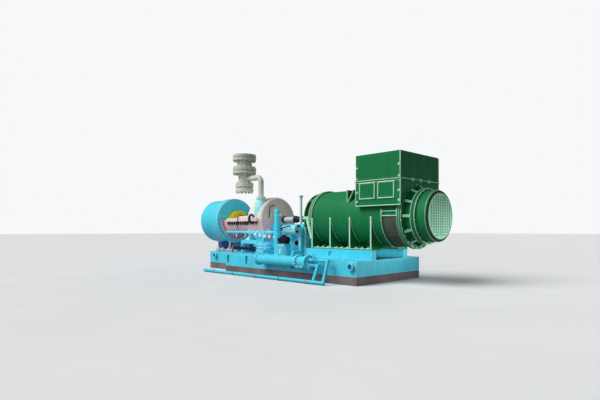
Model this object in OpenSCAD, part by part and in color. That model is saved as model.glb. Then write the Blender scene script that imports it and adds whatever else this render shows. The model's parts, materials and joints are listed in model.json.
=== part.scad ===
// Skid-mounted steam turbine generator: generator at +X, turbine and exhaust drum at -X.
// The shaft lies along X, the front is -Y, and the origin is under the shaft on the plinth's underside.

/* [Foundation and skid] */
// Length of the wide part of plinth and skid
skid_l = 4460; // [4400:10:4600]
// Width of the wide part of plinth and skid
skid_w = 2230; // [2100:10:2400]
// Length of the narrow tongue under the exhaust drum
tongue_l = 1410; // [1350:10:1500]
// Width of the narrow tongue
tongue_w = 1400; // [1300:10:1500]
// Height of the concrete plinth
plinth_h = 170; // [120:5:250]
// Height of the skid's channel beams
beam_h = 300; // [260:10:340]
// How far the beam flanges reach in behind the web
flange_reach = 100; // [60:5:140]
// Thickness of the beam flanges
flange_t = 22; // [15:1:30]
// Thickness of the beam webs and end plates
web_t = 20; // [12:1:30]
// Thickness of the deck plate
deck_t = 10; // [8:1:20]
// Width of the slots in the skid's long sides
slot_w = 120; // [100:5:140]
// Distance between the slots
slot_pitch = 795; // [700:5:900]
// Outer radius of the lifting pipes through the skid
lift_pipe_r = 75; // [65:1:85]
// Bore radius of the lifting pipes
lift_bore_r = 55; // [45:1:60]
// How far the lifting pipes stand out from the skid
lift_pipe_reach = 70; // [40:5:100]
// Height of the lifting pipes above the floor
lift_z = 370; // [300:5:390]

/* [Generator] */
// Height of the beams that carry the generator
riser_h = 195; // [150:5:240]
// Height of the shaft above the generator feet
shaft_over_feet = 685; // [670:5:720]
// Radius of the generator barrel
barrel_r = 620; // [600:5:640]
// Length of the generator barrel
barrel_l = 2380; // [2300:10:2450]
// Radius of the flange at the exciter end of the barrel
end_flange_r = 650; // [640:5:680]
// Radius of the flange ring at the drive end
drive_ring_r = 645; // [630:5:680]
// Axial width of the drive end ring
drive_ring_l = 90; // [60:5:120]
// Length of the drive end cage
drive_cage_l = 210; // [150:5:240]
// Outer radius of the drive end cage
drive_cage_r = 600; // [570:5:620]
// Radius of the exciter housing
exciter_r = 505; // [480:5:530]
// Length of the exciter housing
exciter_l = 240; // [200:5:300]
// Radius of the round air grille
grille_r = 446; // [420:2:460]
// Width of each grille slot
grille_slot_w = 17; // [10:1:22]
// Height of each grille slot
grille_slot_h = 34; // [20:1:44]
// Thickness of the gusset plates under the generator
gusset_t = 36; // [20:1:50]
// Distance between the gusset plates
gusset_pitch = 563; // [540:1:570]

/* [Terminal box] */
// Length of the terminal box along the shaft
box_l = 1096; // [1000:4:1200]
// Width of the terminal box across the shaft
box_w = 1400; // [1350:10:1500]
// Height of the lower box edge above the shaft
box_edge_over_shaft = 216; // [180:4:260]
// Height of the lower box
box_base_h = 497; // [440:1:540]
// Height of the upper hood
box_hood_h = 537; // [480:1:580]
// Width of an inspection cover
cover_w = 380; // [340:5:420]
// Height of an inspection cover
cover_h = 310; // [280:5:340]

/* [Coupling] */
// Radius of the generator shaft
shaft_r = 75; // [65:1:85]
// Radius of the turbine shaft
turbine_shaft_r = 65; // [55:1:75]
// Radius of the coupling hubs
hub_r = 92; // [86:1:110]
// Length of each coupling hub
hub_l = 50; // [40:5:80]
// Radius of the coupling spacer
spacer_r = 70; // [60:1:80]
// Length of the coupling spacer
spacer_l = 390; // [360:5:410]

/* [Turbine] */
// Radius of the wheel casing
wheel_case_r = 600; // [560:5:620]
// Axial width of the wheel casing
wheel_case_l = 540; // [460:10:600]
// Axial length of the cone on the upper casing
cone_l = 665; // [600:5:750]
// Radius of the neck on the upper casing
neck_r = 135; // [110:5:180]
// Radius of the lower casing behind the wheel
lower_case_r = 400; // [360:5:440]
// Thickness of each half of the horizontal joint flange
joint_flange_t = 35; // [25:1:50]
// How far the joint flange stands out from the lower casing
joint_flange_reach = 70; // [50:5:100]
// Radius of the bolted flange where the casing meets the drum
drum_joint_r = 530; // [500:5:560]
// Radius of the gland cap
gland_cap_r = 300; // [260:5:330]
// Length of the gland cap
gland_cap_l = 175; // [140:5:220]
// Outer radius of the drum's flange band
drum_band_r = 646; // [630:2:670]
// Axial width of the drum's flange band
drum_band_l = 240; // [180:5:280]
// Outer radius of the exhaust drum
drum_r = 620; // [600:2:640]
// Length of the exhaust drum
drum_l = 930; // [850:10:1000]
// Wall thickness of the exhaust drum
drum_wall = 20; // [12:1:30]

/* [Steam lines] */
// Radius of the steam inlet pipe
inlet_pipe_r = 71; // [62:1:80]
// Height of the inlet pipe's horizontal run above the shaft
inlet_run_over_shaft = 1117; // [1090:1:1150]
// Radius of the drip leg
drip_leg_r = 162; // [150:1:170]
// Distance of the drip leg from the steam chest along the shaft
drip_leg_offset = 731; // [680:1:800]
// Radius of the blind flanges under the drip leg
blind_flange_r = 242; // [230:1:260]
// Radius of the stop valve's flanges
valve_flange_r = 314; // [306:1:324]
// Radius of the bolt circle on the stop valve
valve_bolt_circle_r = 278; // [272:0.5:284]
// Radius of the stop valve's bolt holes
valve_bolt_hole_r = 18.5; // [15:0.5:20]
// Radius of the exhaust flange
exhaust_flange_r = 430; // [420:1:450]
// Radius of the bolt circle on the exhaust flange
exhaust_bolt_circle_r = 405; // [400:1:410]
// Radius of the exhaust flange's bolt holes
exhaust_bolt_hole_r = 13; // [10:0.5:14]
// Outer radius of the exhaust nozzle
exhaust_nozzle_r = 355.5; // [340:0.5:365]

/* [Oil and water] */
// Radius of the oil cooler shell
cooler_r = 115; // [100:1:125]
// Length of the oil cooler shell
cooler_l = 1390; // [1300:10:1450]
// Radius of the cooler's flanges
cooler_flange_r = 150; // [140:1:151]
// Distance of the cooler's axis from the skid's front edge
cooler_reach = 156; // [152:1:190]
// Radius of the cooling water pipe
water_pipe_r = 35; // [30:1:40]
// Distance of the floor pipe from the skid's front edge
floor_pipe_reach = 360; // [300:5:450]
// Radius of the oil header pipe
header_r = 32; // [25:1:40]

/* [Hidden] */
$fn = 96;
saddle_facets = 360;

overrun = 5;
seat_gap = 0.3;
saddle_gap = 0.8;
running_gap = 0.3;

cyan = "deepskyblue";
green = "seagreen";

// Levels above the floor
beam_z = plinth_h;
deck_z = plinth_h + beam_h;
deck_top = deck_z + deck_t;
foot_z = deck_top + riser_h;
shaft_z = foot_z + shaft_over_feet;

// Stations along the shaft
skid_x = skid_l / 2;
tongue_x = -skid_x - tongue_l;
barrel_drive_x = 500;
barrel_fan_x = barrel_drive_x + barrel_l;
drive_ring_x = barrel_drive_x - drive_ring_l;
drive_cage_x = drive_ring_x - drive_cage_l;
fan_ring_l = 290;
exciter_x = barrel_fan_x + fan_ring_l;
exciter_end_x = exciter_x + exciter_l;
coupling_x = -700;
spacer_x = coupling_x - hub_l;
turbine_hub_x = spacer_x - spacer_l;
turbine_hub_end_x = turbine_hub_x - hub_l;
wheel_face_x = -1430;
wheel_back_x = wheel_face_x - wheel_case_l;
cone_end_x = wheel_back_x - cone_l;
drum_set = 280;
drum_x = tongue_x + drum_set;
drum_end_x = drum_x - drum_l;
gland_cap_x = drum_x + gland_cap_l;

// Lifting pipes
lift_edge = 117;
lift_generator_x = skid_x - lift_edge;
lift_turbine_set = 310;
lift_turbine_x = tongue_x + lift_turbine_set;

// Slots through the long sides, counted from the turbine end of the wide skid
slot_edge = 63;
slot_x = -skid_x + slot_edge;
slot_count = 2;
slot_h = 198;
slot_over_beam = 78;

// Generator beams and feet
riser_outer_y = 640;
riser_inner_y = 494;
riser_l = 1900;
notch_x = 1030;
notch_w = 115;
notch_h = 110;
notch_depth = 40;
foot_rail_t = 30;
foot_rail_inset = 3;
foot_rail_x = barrel_drive_x + foot_rail_inset;
gusset_count = 4;
gusset_first_x = 2210;
gusset_inner_y = 300;

// Air screens set into the barrel's lower half beside the exciter end
fan_flange_l = 40;
screen_l = 360;
screen_recess = 35;
screen_inset = 12;
screen_recess_r = barrel_r - screen_recess;
screen_outer_r = barrel_r - screen_inset;
screen_rib_w = 25;
screen_rib_h = 20;
screen_rib_r = barrel_r + screen_rib_h;
screen_bar_t = 22;
screen_bar_heights = [0, 90];
screen_x = barrel_fan_x - fan_flange_l - screen_l;

// Cages and grille
drive_ring_bore_r = 540;
drive_slot_r = 605;
drive_slot_flange = 26;
drive_slot_bar_w = 55;
drive_slot_count = 16;
drive_bar_w = 75;
drive_bar_count = 8;
drive_cage_wall = 45;
drive_plate_t = 30;
drive_rim_l = 30;
winding_inner_r = 360;
winding_outer_r = 500;
winding_l = 150;
fan_rim_l = 55;
fan_front_r = 545;
fan_front_l = 90;
fan_core_r = 515;
fan_bar_w = 62;
fan_bar_count = 12;
fan_bar_drop = 40;
fan_bar_inset = 15;
exciter_round_r = 45;
grille_t = 25;
grille_recess = 15;
grille_columns = 9;
grille_rows = 15;
grille_pitch_y = 84;
grille_pitch_z = 52;
grille_rim = 26;

// Terminal box
box_x = 1868;
box_z = shaft_z + box_edge_over_shaft;
hood_z = box_z + box_base_h;
box_lip = 14;
box_lip_h = 16;
cover_t = 12;
cover_corner_r = 18;
cover_over_edge = 299;
cover_z = box_z + cover_over_edge;
cover_shares = [0.271, 0.696];

// Lifting lugs on the barrel's shoulders
lug_x = 1480;
lug_t = 34;
lug_spread = 190;
lug_web = 70;
lug_front_y = 545;
lug_rear_y = 120;
lug_foot_over_shaft = 285;
lug_h = 296;
lug_hole_r = 26;
lug_hole_y = 400;
lug_hole_share = 0.75;

// Bearing pedestal and supports
pedestal_l = 190;
pedestal_half_w = 250;
pedestal_foot_h = 60;
pedestal_foot_half_w = 380;
pedestal_inset = 20;
pedestal_x = wheel_face_x + pedestal_inset;
pedestal_top_drop = 95;
cap_r = 140;
cap_rib_r = 155;
cap_rib_l = 40;
support_l = 320;
support_inset = 430;
support_x = wheel_face_x - support_inset;
support_half_w = 420;
support_h = 500;
table_x = -2300;
table_half_w = 580;
table_top = 820;
table_t = 80;
table_leg = 90;
saddle_x = -2270;
saddle_t = 60;
saddle_half_w = 350;

// Lower casing flare at the drum
flare_l = 240;
drum_joint_l = 45;
joint_wheel_reach = 80;
joint_wheel_inset = 60;
joint_wheel_x = wheel_face_x - joint_wheel_inset;
lower_step_l = 90;
wheel_round = 70;

// Exhaust
end_wall_t = 30;
head_cone_l = 160;
nozzle_l = 110;
exhaust_flange_t = 40;
exhaust_bolt_count = 24;
post_r = 28;
post_pad = 130;
post_pad_t = 20;
post_y = 200;
post_set = 30;
post_x = drum_x - post_set;
exhaust_saddle_set = 260;
exhaust_saddle_x = drum_x - exhaust_saddle_set;
exhaust_saddle_l = 160;
exhaust_saddle_half_w = 450;
exhaust_saddle_h = 280;

// Steam inlet
steam_y = -420;
chest_x = -1634;
chest_base_r = 185;
chest_neck_r = 85;
chest_base_over_shaft = 140;
chest_flange_r = 122;
chest_flange_t = 30;
chest_top_over_shaft = 566;
chest_top_z = shaft_z + chest_top_over_shaft;
inlet_bend_r = 140;
inlet_run_z = shaft_z + inlet_run_over_shaft;
drip_leg_x = chest_x - drip_leg_offset;
blind_over_shaft = 775;
blind_z = shaft_z + blind_over_shaft;
blind_flange_t = 90;
blind_gap = 38;
valve_over_shaft = 1269;
valve_z = shaft_z + valve_over_shaft;
valve_flange_t = 71;
valve_flange_gap = 15;
valve_neck_r = 204;
valve_groove_r = 228;
valve_body_h = 200;
valve_bore_r = 142;
valve_bolt_count = 16;
valve_pair_h = 2 * valve_flange_t + valve_flange_gap;
valve_top_z = valve_z + 2 * valve_pair_h + valve_body_h;

// Oil reservoir, pump and filters
reservoir_x = -540;
reservoir_l = 710;
reservoir_half_w = 600;
reservoir_under_shaft = 130;
reservoir_top = shaft_z - reservoir_under_shaft;
reservoir_round_r = 130;
window_r = 70;
window_depth = 25;
window_shares = [[0.21, 0.3], [0.7, 0.4]];
vent_x = -77;
vent_y = -430;
vent_r = 28;
vent_h = 690;
vent_cap_r = 50;
vent_cap_h = 45;
pump_x = -160;
pump_y = -900;
pump_stand_l = 280;
pump_stand_w = 200;
pump_stand_h = 290;
motor_r = 70;
motor_l = 190;
motor_foot_h = 20;
motor_box = 76;
strainer_x = -290;
strainer_l = 450;
strainer_r = 108;
strainer_flange_r = 124;
strainer_flange_l = 34;
strainer_y = -735;
strainer_under_shaft = 270;
strainer_z = shaft_z - strainer_under_shaft;
strainer_bracket_w = 50;
strainer_bracket_shares = [0.25, 0.75];
accumulator_x = -625;
accumulator_y = -720;
accumulator_r = 65;
accumulator_top_z = 1540;
accumulator_foot_r = 90;
accumulator_foot_h = 25;
filter_y = -860;
filter_xs = [-830, -1030];
filter_r = 80;
filter_h = 230;
filter_head_r = 95;
filter_head_h = 50;
filter_base_h = 40;

// Oil header along the front of the turbine
header_y = -620;
header_under_shaft = 330;
header_z = shaft_z - header_under_shaft;
header_start_x = -700;
header_end_set = 370;
header_end_x = drum_x + header_end_set;
header_drop_x = -1290;
header_turn_y = -340;
header_bend_r = 90;

// Oil cooler on the skid's front edge
cooler_y = -skid_w / 2 - cooler_reach;
cooler_over_deck = -65;
cooler_z = deck_top + cooler_over_deck;
cooler_x = -640;
cooler_flange_t = 32;
cooler_head_l = 230;
cooler_bracket_t = 16;
cooler_bracket_h = 150;
cooler_bracket_drop = 170;
cooler_bracket_shares = [0.2, 0.8];
cooler_head_x = cooler_x + cooler_l;
cooler_head_end_x = cooler_head_x + 2 * cooler_flange_t + cooler_head_l + cooler_flange_t;

// Cooling water pipe, from the cooler head down to the floor and along the skid
floor_pipe_y = -skid_w / 2 - floor_pipe_reach;
floor_pipe_z = 45;
floor_pipe_end_x = -2640;
upper_leg_x = 1620;
lower_leg_x = 1335;
leg_foot_shift = 60;
upper_water_offset = 55;
lower_water_offset = -65;
upper_water_z = cooler_z + upper_water_offset;
lower_water_z = cooler_z + lower_water_offset;
socket_r = 44;
socket_l = 110;
socket_bore_r = 30.4;
socket_bore_l = 70;

// Places children on the shaft axis at x, with their +Z along +X
module on_shaft(x) {
    translate([x, 0, shaft_z])
        rotate([0, 90, 0])
            children();
}

// Disc or tube around the shaft axis between two stations
module shaft_disc(x0, x1, r) {
    on_shaft(x0)
        cylinder(h = x1 - x0, r = r);
}

module shaft_tube(x0, x1, outer_r, inner_r) {
    difference() {
        shaft_disc(x0, x1, outer_r);
        shaft_disc(x0 - overrun, x1 + overrun, inner_r);
    }
}

// Everything below or above the shaft's level
module half_space(upper) {
    reach = 2 * skid_l;
    translate([-reach, -reach, upper ? shaft_z : shaft_z - reach])
        cube([2 * reach, 2 * reach, reach]);
}

// Straight round bar between two points
module bar(from, to, r) {
    d = to - from;
    l = norm(d);
    translate(from)
        rotate([0, acos(d[2] / l), atan2(d[1], d[0])])
            cylinder(h = l, r = r);
}

function unit(v) = v / norm(v);

// Turn between two straight stretches of pipe, as a part of a torus
module pipe_bend(corner, from_dir, to_dir, bend_r, r) {
    turn = acos(from_dir * to_dir);
    inward = unit(to_dir - (to_dir * from_dir) * from_dir);
    centre = corner - from_dir * bend_r * tan(turn / 2) + inward * bend_r;
    normal = cross(-inward, from_dir);
    multmatrix([
        [-inward[0], from_dir[0], normal[0], centre[0]],
        [-inward[1], from_dir[1], normal[1], centre[1]],
        [-inward[2], from_dir[2], normal[2], centre[2]],
        [0, 0, 0, 1]
    ])
        rotate_extrude(angle = turn)
            translate([bend_r, 0])
                circle(r = r);
}

// Round pipe along a list of points, with a bend at each inner point
module pipe_run(points, bend_r, r) {
    last = len(points) - 1;
    dirs = [for (i = [0 : last - 1]) unit(points[i + 1] - points[i])];
    trims = [for (i = [0 : last])
        i == 0 || i == last ? 0 : bend_r * tan(acos(dirs[i - 1] * dirs[i]) / 2)];
    for (i = [0 : last - 1])
        bar(points[i] + dirs[i] * trims[i], points[i + 1] - dirs[i] * trims[i + 1], r);
    for (i = [1 : 1 : last - 1])
        pipe_bend(points[i], dirs[i - 1], dirs[i], bend_r, r);
}

// Round pipe along a list of points, with a ball-shaped fitting at each inner point
module fitted_pipe(points, fitting_r, r) {
    last = len(points) - 1;
    for (i = [0 : last - 1])
        bar(points[i], points[i + 1], r);
    for (i = [1 : 1 : last - 1])
        translate(points[i])
            sphere(r = fitting_r);
}

// Mirrors children to the rear side
module rear() {
    mirror([0, 1, 0])
        children();
}

// Channel beam lying along X with its web to the front
module channel(x0, l, edge_y) {
    translate([x0, edge_y, beam_z]) {
        cube([l, web_t + flange_reach, flange_t]);
        translate([0, 0, beam_h - flange_t])
            cube([l, web_t + flange_reach, flange_t]);
        cube([l, web_t, beam_h]);
    }
}

module web_slot(x, edge_y) {
    translate([x, edge_y - overrun, beam_z + slot_over_beam])
        cube([slot_w, web_t + 2 * overrun, slot_h]);
}

// Hole through the skid's webs for a lifting pipe
module lift_hole(x, r) {
    translate([x, skid_w, lift_z])
        rotate([90, 0, 0])
            cylinder(h = 2 * skid_w, r = r);
}

module plinth() {
    color("dimgray") {
        translate([-skid_x, -skid_w / 2, 0])
            cube([skid_l, skid_w, plinth_h]);
        translate([tongue_x, -tongue_w / 2, 0])
            cube([tongue_l + overrun, tongue_w, plinth_h]);
    }
}

module skid_beam_front() {
    color(cyan)
        difference() {
            channel(-skid_x + web_t, skid_l - 2 * web_t, -skid_w / 2);
            for (i = [0 : slot_count - 1])
                web_slot(slot_x + i * slot_pitch, -skid_w / 2);
            lift_hole(lift_generator_x, lift_pipe_r + seat_gap);
        }
}

module skid_beam_rear() {
    rear() skid_beam_front();
}

module skid_end_plate() {
    color(cyan)
        translate([skid_x - web_t, -skid_w / 2, beam_z])
            cube([web_t, skid_w, beam_h]);
}

module skid_cross_plate() {
    color(cyan)
        translate([-skid_x, -skid_w / 2, beam_z])
            cube([web_t, skid_w, beam_h]);
}

module tongue_beam_front() {
    color(cyan)
        difference() {
            channel(tongue_x + web_t, tongue_l - web_t, -tongue_w / 2);
            lift_hole(lift_turbine_x, lift_pipe_r + seat_gap);
        }
}

module tongue_beam_rear() {
    rear() tongue_beam_front();
}

module tongue_end_plate() {
    color(cyan)
        translate([tongue_x, -tongue_w / 2, beam_z])
            cube([web_t, tongue_w, beam_h]);
}

module deck_plate() {
    color(cyan)
        translate([0, 0, deck_z])
            linear_extrude(deck_t) {
                translate([-skid_x, -skid_w / 2])
                    square([skid_l, skid_w]);
                translate([tongue_x, -tongue_w / 2])
                    square([tongue_l + overrun, tongue_w]);
            }
}

module lifting_pipe(x, half_l) {
    color(cyan)
        translate([x, half_l, lift_z])
            rotate([90, 0, 0])
                difference() {
                    cylinder(h = 2 * half_l, r = lift_pipe_r);
                    translate([0, 0, -overrun])
                        cylinder(h = 2 * half_l + 2 * overrun, r = lift_bore_r);
                }
}

module lifting_pipe_generator_end() {
    lifting_pipe(lift_generator_x, skid_w / 2 + lift_pipe_reach);
}

module lifting_pipe_turbine_end() {
    lifting_pipe(lift_turbine_x, tongue_w / 2 + lift_pipe_reach);
}

module generator_beam_front() {
    color(cyan)
        difference() {
            translate([skid_x - riser_l, -riser_outer_y, deck_top])
                cube([riser_l, riser_outer_y - riser_inner_y, riser_h]);
            translate([notch_x, -riser_outer_y - overrun, foot_z - notch_h - notch_depth])
                cube([notch_w, notch_depth + overrun, notch_h]);
        }
}

module generator_beam_rear() {
    rear() generator_beam_front();
}

module generator_barrel() {
    color(green) {
        difference() {
            shaft_disc(barrel_drive_x, barrel_fan_x, barrel_r);
            intersection() {
                shaft_tube(screen_x, screen_x + screen_l, end_flange_r, screen_recess_r);
                half_space(false);
            }
        }
        shaft_disc(barrel_fan_x - fan_flange_l, barrel_fan_x, end_flange_r);
        intersection() {
            shaft_tube(screen_x - screen_rib_w, screen_x, screen_rib_r, screen_recess_r);
            half_space(false);
        }
        for (side = [-1, 1], h = screen_bar_heights)
            translate([screen_x - screen_rib_w, side * (barrel_r - screen_bar_t / 2) - screen_bar_t,
                shaft_z + h])
                cube([screen_l + screen_rib_w + overrun, 2 * screen_bar_t, screen_bar_t]);
    }
}

module air_screen() {
    color("dimgray")
        intersection() {
            shaft_tube(screen_x + seat_gap, screen_x + screen_l - seat_gap, screen_outer_r,
                screen_recess_r + seat_gap);
            translate([0, 0, -seat_gap])
                half_space(false);
        }
}

module generator_foot_front() {
    color(green) {
        translate([foot_rail_x, -riser_outer_y, foot_z])
            cube([skid_x - foot_rail_x, riser_outer_y - gusset_inner_y, foot_rail_t]);
        for (i = [0 : gusset_count - 1])
            difference() {
                translate([gusset_first_x - i * gusset_pitch - gusset_t / 2, -riser_outer_y, foot_z])
                    cube([gusset_t, riser_outer_y - gusset_inner_y, shaft_over_feet]);
                shaft_disc(barrel_drive_x, barrel_fan_x, barrel_r + seat_gap);
            }
    }
}

module generator_foot_rear() {
    rear() generator_foot_front();
}

// Two flanges around a hub, held apart by bars with open slots between them
module drive_end_ring() {
    color(green)
        difference() {
            union() {
                shaft_disc(drive_ring_x, barrel_drive_x, drive_slot_r);
                shaft_disc(drive_ring_x, drive_ring_x + drive_slot_flange, drive_ring_r);
                shaft_disc(barrel_drive_x - drive_slot_flange, barrel_drive_x, drive_ring_r);
                for (i = [0 : drive_slot_count - 1])
                    on_shaft(drive_ring_x + drive_slot_flange / 2)
                        rotate([0, 0, i * 360 / drive_slot_count])
                            translate([drive_slot_r - overrun, -drive_slot_bar_w / 2, 0])
                                cube([drive_ring_r - drive_slot_r, drive_slot_bar_w,
                                    drive_ring_l - drive_slot_flange]);
            }
            shaft_disc(drive_ring_x - overrun, barrel_drive_x + overrun, drive_ring_bore_r);
        }
}

module drive_end_cage() {
    color(green) {
        intersection() {
            shaft_tube(drive_cage_x, drive_ring_x, drive_cage_r, drive_cage_r - drive_cage_wall);
            union()
                for (i = [0 : drive_bar_count - 1])
                    on_shaft(drive_cage_x)
                        rotate([0, 0, i * 360 / drive_bar_count])
                            translate([0, -drive_bar_w / 2, 0])
                                cube([drive_cage_r, drive_bar_w, drive_cage_l]);
        }
        shaft_tube(drive_ring_x - drive_rim_l, drive_ring_x, drive_cage_r, drive_cage_r - drive_cage_wall);
        shaft_tube(drive_cage_x, drive_cage_x + drive_plate_t, drive_cage_r, shaft_r + running_gap);
    }
}

module stator_winding() {
    color("saddlebrown")
        shaft_tube(barrel_drive_x - winding_l, barrel_drive_x, winding_outer_r, winding_inner_r);
}

module fan_ring() {
    color(green) {
        shaft_disc(barrel_fan_x, barrel_fan_x + fan_rim_l, end_flange_r);
        shaft_disc(barrel_fan_x, exciter_x, fan_core_r);
        shaft_disc(exciter_x - fan_front_l, exciter_x, fan_front_r);
        for (i = [0 : fan_bar_count - 1])
            on_shaft(barrel_fan_x)
                rotate([0, 0, i * 360 / fan_bar_count])
                    rotate([90, 0, 0])
                        translate([0, 0, -fan_bar_w / 2])
                            linear_extrude(fan_bar_w)
                                polygon([
                                    [fan_core_r - overrun, fan_rim_l - overrun],
                                    [end_flange_r - fan_bar_drop, fan_rim_l - overrun],
                                    [fan_front_r - fan_bar_inset, fan_ring_l - fan_front_l + overrun],
                                    [fan_core_r - overrun, fan_ring_l - fan_front_l + overrun]
                                ]);
    }
}

module exciter_housing() {
    color(green)
        difference() {
            on_shaft(exciter_x)
                rotate_extrude() {
                    square([exciter_r, exciter_l - exciter_round_r]);
                    square([exciter_r - exciter_round_r, exciter_l]);
                    translate([exciter_r - exciter_round_r, exciter_l - exciter_round_r])
                        circle(r = exciter_round_r);
                }
            shaft_disc(exciter_end_x - grille_recess, exciter_end_x + overrun, grille_r + seat_gap);
        }
}

module exciter_grille() {
    color("mediumaquamarine")
        on_shaft(exciter_end_x - grille_recess)
            linear_extrude(grille_t)
                difference() {
                    circle(r = grille_r);
                    for (column = [0 : grille_columns - 1], row = [0 : grille_rows - 1]) {
                        y = (column - (grille_columns - 1) / 2) * grille_pitch_y;
                        z = (row - (grille_rows - 1) / 2) * grille_pitch_z;
                        if (norm([y, z]) < grille_r - grille_rim - grille_slot_h / 2)
                            translate([z - grille_slot_h / 2, y - grille_slot_w / 2])
                                square([grille_slot_h, grille_slot_w]);
                    }
                }
}

module terminal_box_base() {
    color(green)
        difference() {
            translate([box_x, -box_w / 2, box_z])
                cube([box_l, box_w, box_base_h]);
            shaft_disc(box_x - overrun, barrel_fan_x, barrel_r + seat_gap);
            shaft_disc(barrel_fan_x - fan_flange_l - seat_gap, box_x + box_l + overrun,
                end_flange_r + seat_gap);
        }
}

module terminal_box_hood() {
    color(green) {
        translate([box_x, -box_w / 2, hood_z])
            cube([box_l, box_w, box_hood_h]);
        translate([box_x - box_lip, -box_w / 2 - box_lip, hood_z])
            cube([box_l + 2 * box_lip, box_w + 2 * box_lip, box_lip_h]);
    }
}

// Rounded inspection cover standing upright against the box's front
module cover(x) {
    inner_w = cover_w / 2 - cover_corner_r;
    inner_h = cover_h / 2 - cover_corner_r;
    translate([x, -box_w / 2, cover_z])
        rotate([90, 0, 0])
            linear_extrude(cover_t) {
                square([cover_w, 2 * inner_h], center = true);
                square([2 * inner_w, cover_h], center = true);
                for (sx = [-1, 1], sz = [-1, 1])
                    translate([sx * inner_w, sz * inner_h])
                        circle(r = cover_corner_r);
            }
}

module terminal_covers_front() {
    color(green)
        for (share = cover_shares)
            cover(box_x + share * box_l);
}

module terminal_covers_rear() {
    rear() terminal_covers_front();
}

// Two plates in a V that stand out level from the barrel's shoulder, the first with an eye
module lug() {
    difference() {
        translate([lug_x, -lug_rear_y, shaft_z + lug_foot_over_shaft])
            rotate([90, 0, 0])
                linear_extrude(lug_front_y - lug_rear_y)
                    polygon([
                        [0, 0], [lug_t, 0], [lug_spread, lug_h - lug_web], [lug_spread, lug_h],
                        [lug_t, lug_web], [lug_t, lug_h], [0, lug_h]
                    ]);
        translate([lug_x - overrun, -lug_hole_y, shaft_z + lug_foot_over_shaft + lug_hole_share * lug_h])
            rotate([0, 90, 0])
                cylinder(h = lug_t + 2 * overrun, r = lug_hole_r);
        shaft_disc(barrel_drive_x, barrel_fan_x, barrel_r + saddle_gap, $fn = saddle_facets);
    }
}

module lifting_lugs() {
    color(green) {
        lug();
        rear() lug();
    }
}

module generator_shaft() {
    color("dimgray") {
        shaft_disc(coupling_x - overrun, drive_ring_x + drive_plate_t, shaft_r);
        shaft_disc(spacer_x, coupling_x, hub_r);
    }
}

module coupling_spacer() {
    color("linen")
        shaft_disc(turbine_hub_x, spacer_x, spacer_r);
}

module turbine_shaft() {
    color("dimgray") {
        shaft_disc(turbine_hub_end_x, turbine_hub_x, hub_r);
        shaft_disc(pedestal_x, turbine_hub_end_x + overrun, turbine_shaft_r);
    }
}

module bearing_pedestal() {
    pedestal_top = shaft_z - pedestal_top_drop;
    color(cyan)
        difference() {
            translate([pedestal_x, 0, deck_top]) {
                translate([0, -pedestal_half_w, 0])
                    cube([pedestal_l, 2 * pedestal_half_w, pedestal_top - deck_top]);
                translate([0, -pedestal_foot_half_w, 0])
                    cube([pedestal_l, 2 * pedestal_foot_half_w, pedestal_foot_h]);
            }
            shaft_disc(pedestal_x - overrun, pedestal_x + pedestal_l + overrun, cap_r + seat_gap);
        }
}

// Round bearing housing lying in the pedestal's hollow
module bearing_cap() {
    color("gainsboro")
        difference() {
            union() {
                shaft_disc(pedestal_x, pedestal_x + pedestal_l, cap_r);
                intersection() {
                    shaft_disc(pedestal_x + pedestal_l - cap_rib_l, pedestal_x + pedestal_l, cap_rib_r);
                    half_space(true);
                }
            }
            shaft_disc(pedestal_x - overrun, pedestal_x + pedestal_l + overrun,
                turbine_shaft_r + running_gap);
        }
}

// Block under the wheel casing, with a table and a saddle for the casing behind it
module casing_support() {
    color(cyan)
        difference() {
            union() {
                translate([support_x, -support_half_w, deck_top])
                    cube([support_l, 2 * support_half_w, support_h]);
                translate([table_x, -table_half_w, table_top - table_t])
                    cube([wheel_face_x - table_x, 2 * table_half_w, table_t]);
                for (side = [-1, 1])
                    translate([table_x, side * (table_half_w - table_leg / 2) - table_leg / 2, deck_top])
                        cube([table_leg, table_leg, table_top - deck_top - table_t / 2]);
                translate([saddle_x, -saddle_half_w, table_top - overrun])
                    cube([saddle_t, 2 * saddle_half_w, shaft_z - table_top - lower_case_r / 2]);
            }
            shaft_disc(wheel_back_x - lower_step_l - seat_gap, wheel_face_x + overrun,
                wheel_case_r + seat_gap);
            shaft_disc(drum_x, wheel_back_x, lower_case_r + seat_gap);
        }
}

// Rounded disc of the wheel casing
module wheel_case() {
    on_shaft(wheel_back_x)
        rotate_extrude() {
            square([wheel_case_r, wheel_case_l - wheel_round]);
            square([wheel_case_r - wheel_round, wheel_case_l]);
            translate([wheel_case_r - wheel_round, wheel_case_l - wheel_round])
                circle(r = wheel_round);
        }
}

// Joint flange plan, extruded down or up from the shaft's level
module joint_flange(z0) {
    back_half_w = lower_case_r + joint_flange_reach;
    wheel_half_w = wheel_case_r + joint_wheel_reach;
    translate([0, 0, z0])
        linear_extrude(joint_flange_t) {
            translate([gland_cap_x, -back_half_w])
                square([wheel_back_x - gland_cap_x + overrun, 2 * back_half_w]);
            translate([wheel_back_x - joint_wheel_reach, -wheel_half_w])
                square([joint_wheel_x - wheel_back_x + joint_wheel_reach, 2 * wheel_half_w]);
        }
}

module casing_lower() {
    color("rosybrown")
        union() {
            intersection() {
                union() {
                    wheel_case();
                    on_shaft(wheel_back_x - lower_step_l)
                        cylinder(h = lower_step_l, r1 = lower_case_r, r2 = wheel_case_r);
                    shaft_disc(drum_x, wheel_back_x, lower_case_r);
                    on_shaft(drum_x)
                        cylinder(h = flare_l, r1 = drum_joint_r - drum_joint_l, r2 = lower_case_r);
                    shaft_disc(drum_x, drum_x + drum_joint_l, drum_joint_r);
                }
                half_space(false);
            }
            joint_flange(shaft_z - joint_flange_t);
        }
}

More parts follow.
